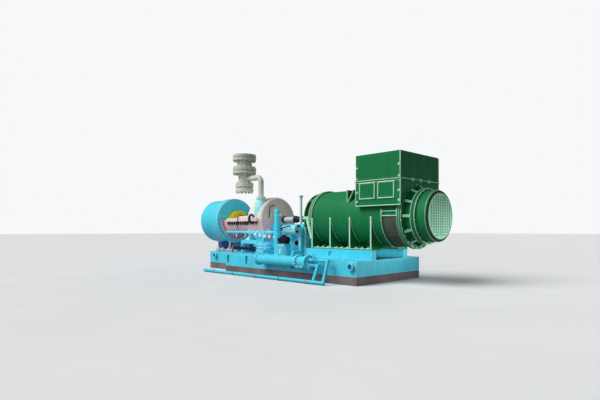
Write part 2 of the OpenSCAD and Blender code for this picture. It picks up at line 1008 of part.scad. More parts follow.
module casing_upper() {
    color("gainsboro")
        union() {
            intersection() {
                union() {
                    wheel_case();
                    on_shaft(cone_end_x)
                        cylinder(h = cone_l, r1 = neck_r, r2 = wheel_case_r);
                    shaft_disc(gland_cap_x, cone_end_x + overrun, neck_r);
                }
                half_space(true);
            }
            joint_flange(shaft_z);
        }
}

module gland_cap() {
    color("goldenrod")
        intersection() {
            shaft_disc(drum_x, gland_cap_x, gland_cap_r);
            half_space(true);
        }
}

module exhaust_drum() {
    color(cyan)
        difference() {
            union() {
                shaft_disc(drum_x - drum_band_l, drum_x, drum_band_r);
                shaft_disc(drum_end_x, drum_x, drum_r);
            }
            shaft_disc(drum_end_x - overrun, drum_x + overrun, drum_r - drum_wall);
        }
}

module exhaust_end_wall() {
    color(cyan)
        shaft_disc(drum_x - end_wall_t, drum_x, drum_r - drum_wall - seat_gap);
}

module exhaust_head() {
    nozzle_end = head_cone_l + nozzle_l;
    total = nozzle_end + exhaust_flange_t;
    color(cyan)
        translate([drum_end_x, 0, shaft_z])
            rotate([0, -90, 0])
                difference() {
                    rotate_extrude()
                        polygon([
                            [drum_r - drum_wall, 0], [drum_r, 0], [exhaust_nozzle_r, head_cone_l],
                            [exhaust_nozzle_r, nozzle_end], [exhaust_flange_r, nozzle_end],
                            [exhaust_flange_r, total], [exhaust_nozzle_r - drum_wall, total],
                            [exhaust_nozzle_r - drum_wall, head_cone_l]
                        ]);
                    for (i = [0 : exhaust_bolt_count - 1])
                        rotate([0, 0, (i + 1 / 2) * 360 / exhaust_bolt_count])
                            translate([exhaust_bolt_circle_r, 0, nozzle_end - overrun])
                                cylinder(h = exhaust_flange_t + 2 * overrun, r = exhaust_bolt_hole_r);
                }
}

module exhaust_posts() {
    color("lightgray")
        for (side = [-1, 1])
            difference() {
                translate([post_x, side * post_y, deck_top]) {
                    cylinder(h = shaft_z - deck_top, r = post_r);
                    translate([-post_pad / 2, -post_pad / 2, 0])
                        cube([post_pad, post_pad, post_pad_t]);
                }
                shaft_disc(drum_x - drum_band_l, drum_x + post_r, drum_band_r + saddle_gap);
            }
}

// Block that the drum lies in
module exhaust_saddle() {
    color("midnightblue")
        difference() {
            translate([exhaust_saddle_x, -exhaust_saddle_half_w, deck_top])
                cube([exhaust_saddle_l, 2 * exhaust_saddle_half_w, exhaust_saddle_h]);
            shaft_disc(drum_end_x, drum_x - drum_band_l + overrun, drum_r + saddle_gap);
            shaft_disc(drum_x - drum_band_l - saddle_gap, drum_x, drum_band_r + saddle_gap);
        }
}

module steam_chest() {
    chest_base_z = shaft_z + chest_base_over_shaft;
    color("lightcyan")
        difference() {
            translate([chest_x, steam_y, chest_base_z]) {
                cylinder(h = chest_top_z - chest_base_z, r1 = chest_base_r, r2 = chest_neck_r);
                translate([0, 0, chest_top_z - chest_base_z - chest_flange_t])
                    cylinder(h = chest_flange_t, r = chest_flange_r);
            }
            shaft_disc(wheel_back_x - overrun, wheel_face_x + overrun, wheel_case_r + saddle_gap);
        }
}

module inlet_pipe() {
    color("darkgray") {
        translate([chest_x, steam_y, chest_top_z])
            cylinder(h = chest_flange_t, r = chest_flange_r);
        difference() {
            pipe_run([
                [chest_x, steam_y, chest_top_z], [chest_x, steam_y, inlet_run_z],
                [drip_leg_x, steam_y, inlet_run_z]
            ], inlet_bend_r, inlet_pipe_r);
            translate([drip_leg_x, steam_y, blind_z])
                cylinder(h = valve_z - blind_z, r = drip_leg_r + seat_gap);
        }
    }
}

module drip_leg() {
    color("darkgray")
        translate([drip_leg_x, steam_y, blind_z]) {
            cylinder(h = blind_flange_t, r = blind_flange_r);
            translate([0, 0, blind_flange_t + blind_gap])
                cylinder(h = blind_flange_t, r = blind_flange_r);
            cylinder(h = valve_z - blind_z, r = drip_leg_r);
        }
}

// Two flanges bolted together with a narrow gap between them
module flange_pair() {
    cylinder(h = valve_flange_t, r = valve_flange_r);
    cylinder(h = valve_pair_h, r = valve_groove_r);
    translate([0, 0, valve_flange_t + valve_flange_gap])
        cylinder(h = valve_flange_t, r = valve_flange_r);
}

module stop_valve() {
    color("darkgray")
        translate([drip_leg_x, steam_y, valve_z])
            difference() {
                union() {
                    flange_pair();
                    cylinder(h = valve_top_z - valve_z, r = valve_neck_r);
                    translate([0, 0, valve_pair_h + valve_body_h])
                        flange_pair();
                }
                translate([0, 0, valve_top_z - valve_z - valve_pair_h])
                    cylinder(h = valve_pair_h + overrun, r = valve_bore_r);
                for (i = [0 : valve_bolt_count - 1])
                    rotate([0, 0, (i + 1 / 2) * 360 / valve_bolt_count])
                        translate([valve_bolt_circle_r, 0, valve_top_z - valve_z - valve_flange_t - overrun])
                            cylinder(h = valve_flange_t + 2 * overrun, r = valve_bolt_hole_r);
            }
}

module oil_reservoir() {
    height = reservoir_top - deck_top;
    inner_w = reservoir_half_w - reservoir_round_r;
    color(cyan) {
        difference() {
            translate([reservoir_x, 0, deck_top])
                rotate([90, 0, 90])
                    linear_extrude(reservoir_l) {
                        translate([-reservoir_half_w, 0])
                            square([2 * reservoir_half_w, height - reservoir_round_r]);
                        translate([-inner_w, 0])
                            square([2 * inner_w, height]);
                        for (side = [-1, 1])
                            translate([side * inner_w, height - reservoir_round_r])
                                circle(r = reservoir_round_r);
                    }
            for (share = window_shares, side = [-1, 1])
                translate([reservoir_x + share[0] * reservoir_l, side * reservoir_half_w,
                    deck_top + share[1] * height])
                    rotate([90, 0, 0])
                        cylinder(h = 2 * window_depth, r = window_r, center = true);
        }
        translate([vent_x, vent_y, reservoir_top - overrun]) {
            cylinder(h = vent_h, r = vent_r);
            translate([0, 0, vent_h - vent_cap_h])
                cylinder(h = vent_cap_h, r = vent_cap_r);
        }
    }
}

module oil_pump_stand() {
    color(cyan)
        translate([pump_x - pump_stand_l / 2, pump_y - pump_stand_w / 2, deck_top])
            cube([pump_stand_l, pump_stand_w, pump_stand_h]);
}

module oil_pump_motor() {
    base_z = deck_top + pump_stand_h;
    axis_z = base_z + motor_foot_h + motor_r;
    color("black") {
        translate([pump_x - motor_l / 2, pump_y, axis_z])
            rotate([0, 90, 0])
                cylinder(h = motor_l, r = motor_r);
        translate([pump_x - motor_l / 2, pump_y - motor_r, base_z])
            cube([motor_l, 2 * motor_r, motor_foot_h + motor_r / 2]);
        translate([pump_x - motor_box / 2, pump_y - motor_box / 2, axis_z])
            cube([motor_box, motor_box, motor_r + motor_box / 2]);
    }
}

// Round strainer with end flanges, on brackets off the reservoir's front
module oil_strainer() {
    color(cyan)
        union() {
            translate([strainer_x, strainer_y, strainer_z])
                rotate([0, 90, 0]) {
                    cylinder(h = strainer_l, r = strainer_r);
                    cylinder(h = strainer_flange_l, r = strainer_flange_r);
                    translate([0, 0, strainer_l - strainer_flange_l])
                        cylinder(h = strainer_flange_l, r = strainer_flange_r);
                }
            for (share = strainer_bracket_shares)
                translate([strainer_x + share * strainer_l - strainer_bracket_w / 2, strainer_y,
                    strainer_z - strainer_r / 2])
                    cube([strainer_bracket_w, -reservoir_half_w - strainer_y - seat_gap, strainer_r]);
        }
}

// Upright pressure vessel with a domed top
module oil_accumulator() {
    color(cyan)
        translate([accumulator_x, accumulator_y, deck_top]) {
            cylinder(h = accumulator_foot_h, r = accumulator_foot_r);
            cylinder(h = accumulator_top_z - deck_top, r = accumulator_r);
            translate([0, 0, accumulator_top_z - deck_top])
                sphere(r = accumulator_r);
        }
}

module oil_filters() {
    color(cyan) {
        translate([min(filter_xs) - filter_head_r, filter_y - filter_head_r, deck_top])
            cube([max(filter_xs) - min(filter_xs) + 2 * filter_head_r, 2 * filter_head_r, filter_base_h]);
        for (x = filter_xs)
            translate([x, filter_y, deck_top]) {
                cylinder(h = filter_h, r = filter_r);
                translate([0, 0, filter_h])
                    cylinder(h = filter_head_h, r = filter_head_r);
            }
    }
}

module oil_header() {
    color(cyan)
        difference() {
            union() {
                pipe_run([
                    [header_start_x, header_y, deck_top], [header_start_x, header_y, header_z],
                    [header_end_x, header_y, header_z], [header_end_x, header_turn_y, header_z]
                ], header_bend_r, header_r);
                bar([header_drop_x, header_y, deck_top], [header_drop_x, header_y, header_z], header_r);
            }
            shaft_disc(drum_x, wheel_back_x, lower_case_r + seat_gap);
        }
}

// Bracket plate that carries the cooler off the skid's front flanges
module cooler_bracket(x) {
    translate([x, cooler_y, cooler_z - cooler_bracket_drop])
        cube([cooler_bracket_t, cooler_reach - seat_gap, cooler_bracket_h + cooler_bracket_drop / 2]);
}

module oil_cooler() {
    color(cyan) {
        translate([cooler_x, cooler_y, cooler_z])
            rotate([0, 90, 0]) {
                cylinder(h = cooler_l, r = cooler_r);
                cylinder(h = 2 * cooler_flange_t, r = cooler_flange_r - cooler_flange_t / 2);
                translate([0, 0, cooler_l - cooler_flange_t])
                    cylinder(h = cooler_flange_t, r = cooler_flange_r);
            }
        for (share = cooler_bracket_shares)
            cooler_bracket(cooler_x + share * cooler_l);
    }
}

module oil_cooler_head() {
    color(cyan)
        translate([cooler_head_x, cooler_y, cooler_z])
            rotate([0, 90, 0]) {
                cylinder(h = cooler_flange_t, r = cooler_flange_r);
                cylinder(h = cooler_head_end_x - cooler_head_x, r = cooler_r);
                translate([0, 0, cooler_flange_t + cooler_head_l])
                    cylinder(h = 2 * cooler_flange_t, r = cooler_flange_r);
            }
}

module water_pipe() {
    foot_x = upper_leg_x + leg_foot_shift;
    color(cyan)
        difference() {
            union() {
                fitted_pipe([
                    [cooler_head_end_x, cooler_y, upper_water_z], [upper_leg_x, cooler_y, upper_water_z],
                    [foot_x, floor_pipe_y, floor_pipe_z], [floor_pipe_end_x, floor_pipe_y, floor_pipe_z]
                ], socket_r, water_pipe_r);
                fitted_pipe([
                    [cooler_head_end_x, cooler_y, lower_water_z], [lower_leg_x, cooler_y, lower_water_z],
                    [lower_leg_x + leg_foot_shift, floor_pipe_y, floor_pipe_z]
                ], socket_r, water_pipe_r);
                translate([lower_leg_x + leg_foot_shift, floor_pipe_y, floor_pipe_z])
                    sphere(r = socket_r);
                translate([floor_pipe_end_x, floor_pipe_y, floor_pipe_z])
                    rotate([0, 90, 0])
                        cylinder(h = socket_l, r = socket_r);
            }
            translate([floor_pipe_end_x - overrun, floor_pipe_y, floor_pipe_z])
                rotate([0, 90, 0])
                    cylinder(h = socket_bore_l + overrun, r = socket_bore_r);
        }
}

plinth();
skid_beam_front();
skid_beam_rear();
skid_end_plate();
skid_cross_plate();
tongue_beam_front();
tongue_beam_rear();
tongue_end_plate();
deck_plate();
lifting_pipe_generator_end();
lifting_pipe_turbine_end();
generator_beam_front();
generator_beam_rear();
generator_barrel();
generator_foot_front();
generator_foot_rear();
air_screen();
drive_end_ring();
drive_end_cage();
stator_winding();
fan_ring();
exciter_housing();
exciter_grille();
terminal_box_base();
terminal_box_hood();
terminal_covers_front();
terminal_covers_rear();
lifting_lugs();
generator_shaft();
coupling_spacer();
turbine_shaft();
bearing_pedestal();
bearing_cap();
casing_support();
casing_lower();
casing_upper();
gland_cap();
exhaust_drum();
exhaust_end_wall();
exhaust_head();
exhaust_posts();
exhaust_saddle();
steam_chest();
inlet_pipe();
drip_leg();
stop_valve();
oil_reservoir();
oil_pump_stand();
oil_pump_motor();
oil_strainer();
oil_accumulator();
oil_filters();
oil_header();
oil_cooler();
oil_cooler_head();
water_pipe();
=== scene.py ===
"""Looks of the steam turbine generator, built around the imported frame. Lengths are in metres."""

import json
import math

import bmesh
import bpy
from mathutils import Matrix, Vector


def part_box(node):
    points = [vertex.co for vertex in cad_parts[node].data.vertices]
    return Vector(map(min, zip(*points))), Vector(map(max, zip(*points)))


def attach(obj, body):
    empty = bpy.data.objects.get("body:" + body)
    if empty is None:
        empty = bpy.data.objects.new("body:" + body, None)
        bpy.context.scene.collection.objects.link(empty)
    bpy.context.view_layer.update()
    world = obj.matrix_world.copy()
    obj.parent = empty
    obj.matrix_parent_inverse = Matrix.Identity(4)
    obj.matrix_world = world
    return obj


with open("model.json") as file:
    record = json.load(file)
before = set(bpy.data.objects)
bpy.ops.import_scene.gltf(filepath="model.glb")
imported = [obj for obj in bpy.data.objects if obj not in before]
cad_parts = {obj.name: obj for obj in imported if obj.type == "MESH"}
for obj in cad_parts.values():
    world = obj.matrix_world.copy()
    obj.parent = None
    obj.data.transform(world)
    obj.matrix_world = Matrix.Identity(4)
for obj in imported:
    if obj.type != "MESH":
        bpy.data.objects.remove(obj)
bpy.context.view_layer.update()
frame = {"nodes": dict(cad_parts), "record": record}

SHAFT_Z = 1.36
DECK_TOP = 0.48
SIDES = (-1, 1)
X, Y, Z = 0, 1, 2
ALONG, LEFT, FORWARD, UP, DOWN = (1, 0, 0), (-1, 0, 0), (0, -1, 0), (0, 0, 1), (0, 0, -1)
SMOOTH_BELOW = math.radians(38)  # edges sharper than this stay hard
EDGE_HIGHLIGHT_SHARE = 0.85  # how far the edges take on their painted highlight colour
BEND_STEPS = 5  # sections in a pipe bend


# Colours and node materials

def linear(red, green, blue):
    """A colour as it looks on screen, 0 to 255, in the shader's linear values."""
    def one(c):
        c /= 255
        return c / 12.92 if c <= 0.04045 else ((c + 0.055) / 1.055) ** 2.4
    return (one(red), one(green), one(blue), 1.0)


def fill(tree, node, inputs):
    """Sets a node's inputs, or links those whose value is another node's output."""
    for key, value in inputs.items():
        if isinstance(value, bpy.types.NodeSocket):
            tree.links.new(value, node.inputs[key])
        else:
            node.inputs[key].default_value = value


def add_node(tree, kind, inputs=None, **settings):
    """A new shader node with its settings and inputs."""
    node = tree.nodes.new("ShaderNode" + kind)
    for key, value in settings.items():
        setattr(node, key, value)
    fill(tree, node, inputs or {})
    return node


class Finish:
    """A node material under construction."""

    def __init__(self, name):
        self.material = bpy.data.materials.new(name)
        self.material.use_nodes = True
        self.tree = self.material.node_tree
        self.tree.nodes.clear()
        self.shader = self.node("BsdfPrincipled")
        self.node("OutputMaterial", {0: self.shader.outputs[0]})
        self.coords = self.node("TexCoord").outputs["Object"]

    def node(self, kind, inputs=None, **settings):
        return add_node(self.tree, kind, inputs, **settings)

    def stretched(self, scale):
        return self.node("Mapping", {"Vector": self.coords, "Scale": scale}).outputs[0]

    def noise(self, scale, detail=4.0, roughness=0.6, coords=None):
        return self.node("TexNoise", {"Vector": coords or self.coords, "Scale": scale, "Detail": detail,
                                      "Roughness": roughness}).outputs[0]

    def cells(self, scale):
        return self.node("TexVoronoi", {"Vector": self.coords, "Scale": scale}).outputs["Distance"]

    def waves(self, scale, direction, distortion=0.0):
        return self.node("TexWave", {"Vector": self.coords, "Scale": scale, "Distortion": distortion},
                         bands_direction=direction).outputs["Fac"]

    def spread(self, value, low, high, to_low=0.0, to_high=1.0):
        return self.node("MapRange", {"Value": value, "From Min": low, "From Max": high, "To Min": to_low,
                                      "To Max": to_high}, clamp=True).outputs[0]

    def math(self, operation, a, b):
        return self.node("Math", {0: a, 1: b}, operation=operation).outputs[0]

    def mix(self, factor, a, b):
        return self.node("Mix", {0: factor, 6: a, 7: b}, data_type="RGBA").outputs[2]

    def edges(self, radius):
        """1 along the edges of the solid, 0 away from them."""
        rounded = self.node("Bevel", {"Radius": radius}, samples=8).outputs[0]
        flat = self.node("NewGeometry").outputs["Normal"]
        match = self.node("VectorMath", {0: rounded, 1: flat}, operation="DOT_PRODUCT").outputs["Value"]
        return self.spread(match, 0.985, 0.86)

    def bump(self, height, strength, distance):
        node = self.node("Bump", {"Strength": strength, "Distance": distance, "Height": height})
        fill(self.tree, self.shader, {"Normal": node.outputs[0]})

    def set(self, colour, roughness, metallic=0.0, specular=0.5):
        fill(self.tree, self.shader, {"Base Color": colour, "Roughness": roughness, "Metallic": metallic,
                                      "Specular IOR Level": specular})
        return self.material


def paint(name, base, shade, edge, roughness=0.45, edge_r=0.012, specular=0.15):
    """Enamel with slow colour changes, run marks, edges lightened as a painted highlight broken up like wear,
    and a fine skin.
    """
    f = Finish(name)
    slow = f.spread(f.noise(1.1, 3.0), 0.32, 0.68)
    runs = f.spread(f.noise(1.0, 5.0, coords=f.stretched((7.0, 7.0, 0.7))), 0.42, 0.72, 0.0, 0.35)
    colour = f.mix(slow, linear(*shade), linear(*base))
    colour = f.mix(runs, colour, linear(*[0.78 * c for c in base]))
    # Edges lightened towards the edge colour: painted highlight, broken up by noise like wear.
    wear_and_highlight = f.math("MULTIPLY", f.edges(edge_r), f.spread(f.noise(9.0, 5.0), 0.25, 0.6, 0.55, 1.0))
    colour = f.mix(f.math("MULTIPLY", wear_and_highlight, EDGE_HIGHLIGHT_SHARE), colour, linear(*edge))
    f.bump(f.noise(140.0, 2.0), 0.12, 0.002)
    rough = f.spread(f.noise(5.0, 5.0), 0.3, 0.7, roughness - 0.07, roughness + 0.1)
    return f.set(colour, rough, 0.0, specular)


def bare_metal(name, base, dark, roughness, metallic):
    """Turned or oiled metal with fine marks."""
    f = Finish(name)
    marks = f.spread(f.noise(3.0, 6.0, coords=f.stretched((1.0, 30.0, 30.0))), 0.3, 0.7)
    colour = f.mix(marks, linear(*dark), linear(*base))
    # A lighter copy of the base colour on the edges: painted highlight.
    bright = linear(*[min(255, 1.5 * c + 20) for c in base])
    colour = f.mix(f.math("MULTIPLY", f.edges(0.006), 0.5), colour, bright)
    f.bump(f.noise(90.0, 3.0), 0.15, 0.002)
    return f.set(colour, f.spread(marks, 0.0, 1.0, roughness + 0.12, roughness - 0.08), metallic)


def concrete():
    f = Finish("concrete")
    slow = f.spread(f.noise(1.6, 6.0, 0.65), 0.3, 0.7)
    colour = f.mix(slow, linear(96, 86, 90), linear(136, 124, 126))
    pores = f.spread(f.cells(38.0), 0.05, 0.22)
    colour = f.mix(pores, linear(80, 72, 74), colour)
    stain = f.spread(f.noise(1.0, 4.0, coords=f.stretched((5.0, 5.0, 0.8))), 0.5, 0.8, 0.0, 0.5)
    colour = f.mix(stain, colour, linear(92, 74, 76))
    # Edges lightened: painted highlight along the edges.
    colour = f.mix(f.math("MULTIPLY", f.edges(0.02), 0.5), colour, linear(168, 160, 160))
    f.bump(f.noise(55.0, 8.0, 0.7), 0.5, 0.006)
    return f.set(colour, f.spread(f.noise(20.0), 0.3, 0.7, 0.8, 0.95))


def woven_wire():
    f = Finish("woven_wire")
    slow = f.spread(f.noise(4.0), 0.3, 0.7)
    colour = f.mix(slow, linear(112, 124, 106), linear(140, 152, 130))
    weave = f.math("MULTIPLY", f.waves(26.0, "X"), f.waves(26.0, "Z"))
    colour = f.mix(f.spread(weave, 0.05, 0.5), linear(52, 64, 54), colour)
    f.bump(weave, 0.4, 0.004)
    return f.set(colour, f.spread(slow, 0.0, 1.0, 0.5, 0.65), 0.25)


def varnish():
    f = Finish("varnish")
    turns = f.waves(9.0, "Z", 1.5)
    colour = f.mix(turns, linear(140, 92, 76), linear(206, 146, 122))
    f.bump(turns, 0.5, 0.01)
    return f.set(colour, f.spread(f.noise(12.0), 0.3, 0.7, 0.3, 0.5), 0.2)


def casing_paint():
    """Heat-proof paint: white on the cone and the joint flange, taupe on the wheel case."""
    f = Finish("heat_paint")
    place = f.node("SeparateXYZ", {0: f.coords}).outputs
    cone = f.spread(place["X"], -1.53, -1.56)
    flange = f.spread(place["Z"], 1.402, 1.396)
    slow = f.spread(f.noise(2.2, 5.0), 0.3, 0.7)
    taupe = f.mix(slow, linear(226, 210, 198), linear(238, 223, 212))
    white = f.mix(slow, linear(216, 214, 207), linear(226, 224, 219))
    colour = f.mix(f.math("MAXIMUM", cone, flange), taupe, white)
    stain = f.spread(f.noise(1.0, 5.0, coords=f.stretched((9.0, 9.0, 1.4))), 0.5, 0.75, 0.0, 0.25)
    colour = f.mix(stain, colour, linear(190, 174, 162))
    # Edges lightened towards near-white: painted highlight.
    colour = f.mix(f.math("MULTIPLY", f.edges(0.01), 0.6), colour, linear(236, 234, 229))
    f.bump(f.noise(30.0, 6.0), 0.25, 0.004)
    return f.set(colour, f.spread(f.noise(8.0), 0.3, 0.7, 0.54, 0.72), 0.0, 0.3)


def cladding(name, base, shade, edge, roughness=0.6):
    """Matt primer, sheet or rubber with slow colour changes, faint stains and painted highlights on the
    edges.
    """
    f = Finish(name)
    slow = f.spread(f.noise(2.2, 5.0), 0.3, 0.7)
    colour = f.mix(slow, linear(*shade), linear(*base))
    stain = f.spread(f.noise(1.0, 5.0, coords=f.stretched((9.0, 9.0, 1.4))), 0.5, 0.75, 0.0, 0.3)
    colour = f.mix(stain, colour, linear(*[0.8 * c for c in shade]))
    # Edges lightened towards the edge colour: painted highlight.
    colour = f.mix(f.math("MULTIPLY", f.edges(0.01), 0.7), colour, linear(*edge))
    f.bump(f.noise(30.0, 6.0), 0.25, 0.004)
    return f.set(colour, f.spread(f.noise(8.0), 0.3, 0.7, roughness - 0.08, roughness + 0.12))


FINISH = {
    "concrete": concrete(),
    "cyan_paint": paint("cyan_enamel", (86, 222, 248), (76, 213, 241), (176, 241, 250)),
    "pale_cyan_paint": paint("pale_cyan_enamel", (168, 242, 250), (150, 236, 247), (230, 250, 252)),
    "green_paint": paint("green_enamel", (28, 134, 80), (26, 124, 72), (112, 204, 152), 0.55, 0.014,
                         specular=0.12),
    "pale_green_paint": paint("pale_green_enamel", (176, 250, 212), (164, 243, 201), (216, 252, 232)),
    "screen_mesh": woven_wire(),
    "winding_varnish": varnish(),
    "dark_steel": bare_metal("oiled_steel", (34, 33, 35), (16, 15, 16), 0.38, 0.4),
    "pale_steel": bare_metal("turned_steel", (232, 214, 208), (206, 186, 182), 0.45, 0.25),
    "casing_primer": cladding("primer", (252, 202, 206), (242, 188, 193), (248, 218, 222)),
    "casing_cladding": casing_paint(),
    "grey_cladding": cladding("sheet_cladding", (222, 226, 210), (208, 212, 196), (234, 236, 226)),
    "yellow_paint": paint("yellow_enamel", (214, 196, 34), (200, 178, 26), (240, 228, 130)),
    "black_paint": paint("black_enamel", (22, 22, 24), (14, 14, 16), (70, 72, 76), 0.35),
    "navy_paint": paint("navy_shade_enamel", (52, 100, 160), (44, 86, 142), (100, 150, 196)),
}
ZINC = bare_metal("zinc", (168, 172, 170), (120, 124, 124), 0.4, 0.7)
RED_PRIMER = cladding("red_primer", (200, 100, 112), (180, 82, 94), (224, 150, 158))
RUBBER = cladding("rubber", (12, 12, 12), (8, 8, 8), (26, 26, 26), 0.8)
# Near-white green for trims, beads, straps, louvres and edge strips, lighter than the pale green paint so the
# lines stay bright in shade: painted highlight.
HIGHLIGHT_GREEN = paint("highlight_green_enamel", (196, 246, 216), (182, 238, 204), (226, 252, 236))
# Dark green for the blocks sunk in the grille slots: painted shade.
SLOT_SHADE_GREEN = paint("slot_shade_green_enamel", (14, 62, 40), (10, 50, 32), (40, 96, 70), 0.6)
DARK_SCREEN = cladding("dark_screen", (44, 34, 30), (28, 22, 20), (84, 66, 58), 0.7)
WHITE = paint("white_enamel", (226, 244, 246), (212, 236, 240), (244, 252, 252))

slot_of = {part["node"]: part["material_slot"] for part in frame["record"]["subparts"]}
for node, item in frame["nodes"].items():
    for place in item.material_slots:
        place.material = FINISH[slot_of[node]]


# Mesh building

def at(position, axis=UP):
    """Places something built along Z at a point, turned to an axis."""
    turn = Vector(UP).rotation_difference(Vector(axis).normalized())
    return Matrix.Translation(position) @ turn.to_matrix().to_4x4()


def around_shaft(x, r, count, first=0.0, sweep=360.0):
    """Points on a circle around the shaft, in degrees from straight up towards the rear."""
    step = sweep / count if abs(sweep) >= 360 else sweep / (count - 1)
    for i in range(count):
        a = math.radians(first + i * step)
        yield Vector((x, r * math.sin(a), SHAFT_Z + r * math.cos(a)))


def around_post(centre, r, count, first=0.0):
    """Points on a level circle around a centre."""
    for i in range(count):
        a = math.radians(first) + math.tau * i / count
        yield Vector(centre) + Vector((r * math.cos(a), r * math.sin(a), 0))


def around_level(centre, r, count, first=0.0):
    """Points on an upright circle around a centre, about a line along X."""
    for i in range(count):
        a = math.radians(first) + math.tau * i / count
        yield Vector(centre) + Vector((0, r * math.cos(a), r * math.sin(a)))


def steps(first, last, count):
    """Evenly spaced places, both ends among them."""
    return [first + (last - first) * i / (count - 1) for i in range(count)]


def across(side, near, far):
    """Two distances from the middle on one side, as places in Y, lowest first."""
    return sorted((side * near, side * far))


SHAPES = []


class Shape:
    """Collects the surfaces of one piece in the row frame. Its finish is the slot's, if not given."""

    def __init__(self, name, slot, finish=None, body="root"):
        self.name, self.slot, self.finish, self.body = name, slot, finish or FINISH[slot], body
        self.points, self.faces = [], []
        SHAPES.append(self)

    def add(self, points, faces, place=Matrix()):
        first = len(self.points)
        self.points += [place @ Vector(p) for p in points]
        self.faces += [[first + i for i in face] for face in faces]

    def lathe(self, profile, place, n=24, ring=False):
        """Turned form of (radius, height) pairs about the local Z: a closed ring, or capped."""
        rows = len(profile)
        points = [(r * math.cos(math.tau * i / n), r * math.sin(math.tau * i / n), h)
                  for r, h in profile for i in range(n)]
        faces = []
        for k in range(rows if ring else rows - 1):
            low, high = k * n, (k + 1) % rows * n
            faces += [(low + i, low + (i + 1) % n, high + (i + 1) % n, high + i) for i in range(n)]
        if not ring:
            faces += [tuple(range(n))[::-1], tuple(range((rows - 1) * n, rows * n))]
        self.add(points, faces, place)

    def rod(self, start, end, r, n=12, chamfer=0.0):
        start, end = Vector(start), Vector(end)
        length = (end - start).length
        profile = [(r, 0), (r, length)]
        if chamfer:
            profile = [(r - chamfer, 0), (r, chamfer), (r, length - chamfer), (r - chamfer, length)]
        self.lathe(profile, at(start, end - start), n)

    def bolt(self, position, axis, r):
        """Hexagon head on a washer."""
        place = at(position, axis)
        self.lathe([(1.3 * r, 0), (1.3 * r, 0.15 * r), (1.2 * r, 0.2 * r)], place, 14)
        self.lathe([(r, 0.1 * r), (r, 0.72 * r), (0.84 * r, 0.86 * r)], place, 6)

    def nut(self, position, axis, r):
        """Hexagon nut with the stud's end standing out."""
        self.bolt(position, axis, r)
        self.lathe([(0.56 * r, 0.8 * r), (0.56 * r, 1.3 * r), (0.46 * r, 1.42 * r)], at(position, axis), 8)

    def bolts(self, positions, axis, r):
        for position in positions:
            self.bolt(position, axis, r)

    def nuts(self, positions, axis, r):
        for position in positions:
            self.nut(position, axis, r)

    def hoop(self, centre, axis, r, wire_r, n, m):
        """Ring of round wire."""
        turns = [math.tau * k / m for k in range(m)]
        profile = [(r + wire_r * math.cos(a), wire_r * math.sin(a)) for a in turns]
        self.lathe(profile, at(centre, axis), n, ring=True)

    def band(self, centre, axis, inner_r, outer_r, width, n, edge):
        """Flat hoop with broken edges, centred on its point."""
        w = width / 2
        profile = [(inner_r, -w), (outer_r - edge, -w), (outer_r, -w + edge), (outer_r, w - edge),
                   (outer_r - edge, w), (inner_r, w)]
        self.lathe(profile, at(centre, axis), n, ring=True)

    def block(self, low, high, chamfer=0.003, place=Matrix()):
        """Box with chamfered edges."""
        low, high = Vector(low), Vector(high)
        form = bmesh.new()
        bmesh.ops.create_cube(form, size=1.0)
        size = high - low
        for v in form.verts:
            v.co = Vector([low[k] + (v.co[k] + 0.5) * size[k] for k in range(3)])
        bmesh.ops.bevel(form, geom=form.edges[:], offset=min(chamfer, min(size) * 0.4), segments=1,
                        affect="EDGES", profile=0.5)
        form.verts.index_update()
        self.add([v.co for v in form.verts], [[v.index for v in f.verts] for f in form.faces], place)
        form.free()

    def strip(self, start, end, half):
        """Square bar along one axis."""
        self.block([min(a, b) - half for a, b in zip(start, end)],
                   [max(a, b) + half for a, b in zip(start, end)], 0.5 * half)

    def plate(self, outline, y0, y1):
        """Flat plate of (x, z) points between two places in Y."""
        n = len(outline)
        points = [(x, y, z) for y in (y0, y1) for x, z in outline]
        faces = [tuple(range(n)), tuple(range(n, 2 * n))[::-1]]
        faces += [(i, i + n, (i + 1) % n + n, (i + 1) % n) for i in range(n)]
        self.add(points, faces)

    def tube(self, path, r, n, bend=0.0):
        """Round pipe along points, its corners rounded to a bend radius."""
        path = [Vector(p) for p in path]
        line = [path[0]]
        for before, here, after in zip(path, path[1:], path[2:]):
            a, b = (before - here).normalized(), (after - here).normalized()
            half = a.angle(b) / 2
            trim = min(bend / math.tan(half) if half > 0.01 else 0, 0.48 * (before - here).length,
                       0.48 * (after - here).length)
            if trim < 1e-4:
                line.append(here)
                continue
            start, end = here + a * trim, here + b * trim
            for t in steps(0, 1, BEND_STEPS + 1):
                line.append(start * (1 - t) ** 2 + here * 2 * t * (1 - t) + end * t ** 2)
        line.append(path[-1])
        line = [p for k, p in enumerate(line) if k == 0 or (p - line[k - 1]).length > 1e-5]
        points, faces = [], []
        side = (line[1] - line[0]).orthogonal().normalized()
        for k, p in enumerate(line):
            ahead = (line[min(k + 1, len(line) - 1)] - line[max(k - 1, 0)]).normalized()
            side = (side - ahead * side.dot(ahead)).normalized()
            other = ahead.cross(side)
            points += [p + r * (side * math.cos(math.tau * i / n) + other * math.sin(math.tau * i / n))
                       for i in range(n)]
        for k in range(len(line) - 1):
            faces += [(k * n + i, k * n + (i + 1) % n, (k + 1) * n + (i + 1) % n, (k + 1) * n + i)
                      for i in range(n)]
        last = (len(line) - 1) * n
        faces += [tuple(range(n))[::-1], tuple(range(last, last + n))]
        self.add(points, faces)

    def handwheel(self, centre, axis, r):
        """Rim, hub, spokes and spindle."""
        place = at(centre, axis)
        self.hoop(centre, axis, r, 0.12 * r, 28, 8)
        self.lathe([(0.22 * r, -0.2 * r), (0.22 * r, 0.2 * r), (0.12 * r, 0.3 * r)], place, 12)
        for k in range(5):
            a = math.tau * k / 5
            out = place @ Vector((r * math.cos(a), r * math.sin(a), 0))
            self.rod(centre, out, 0.07 * r, 6)

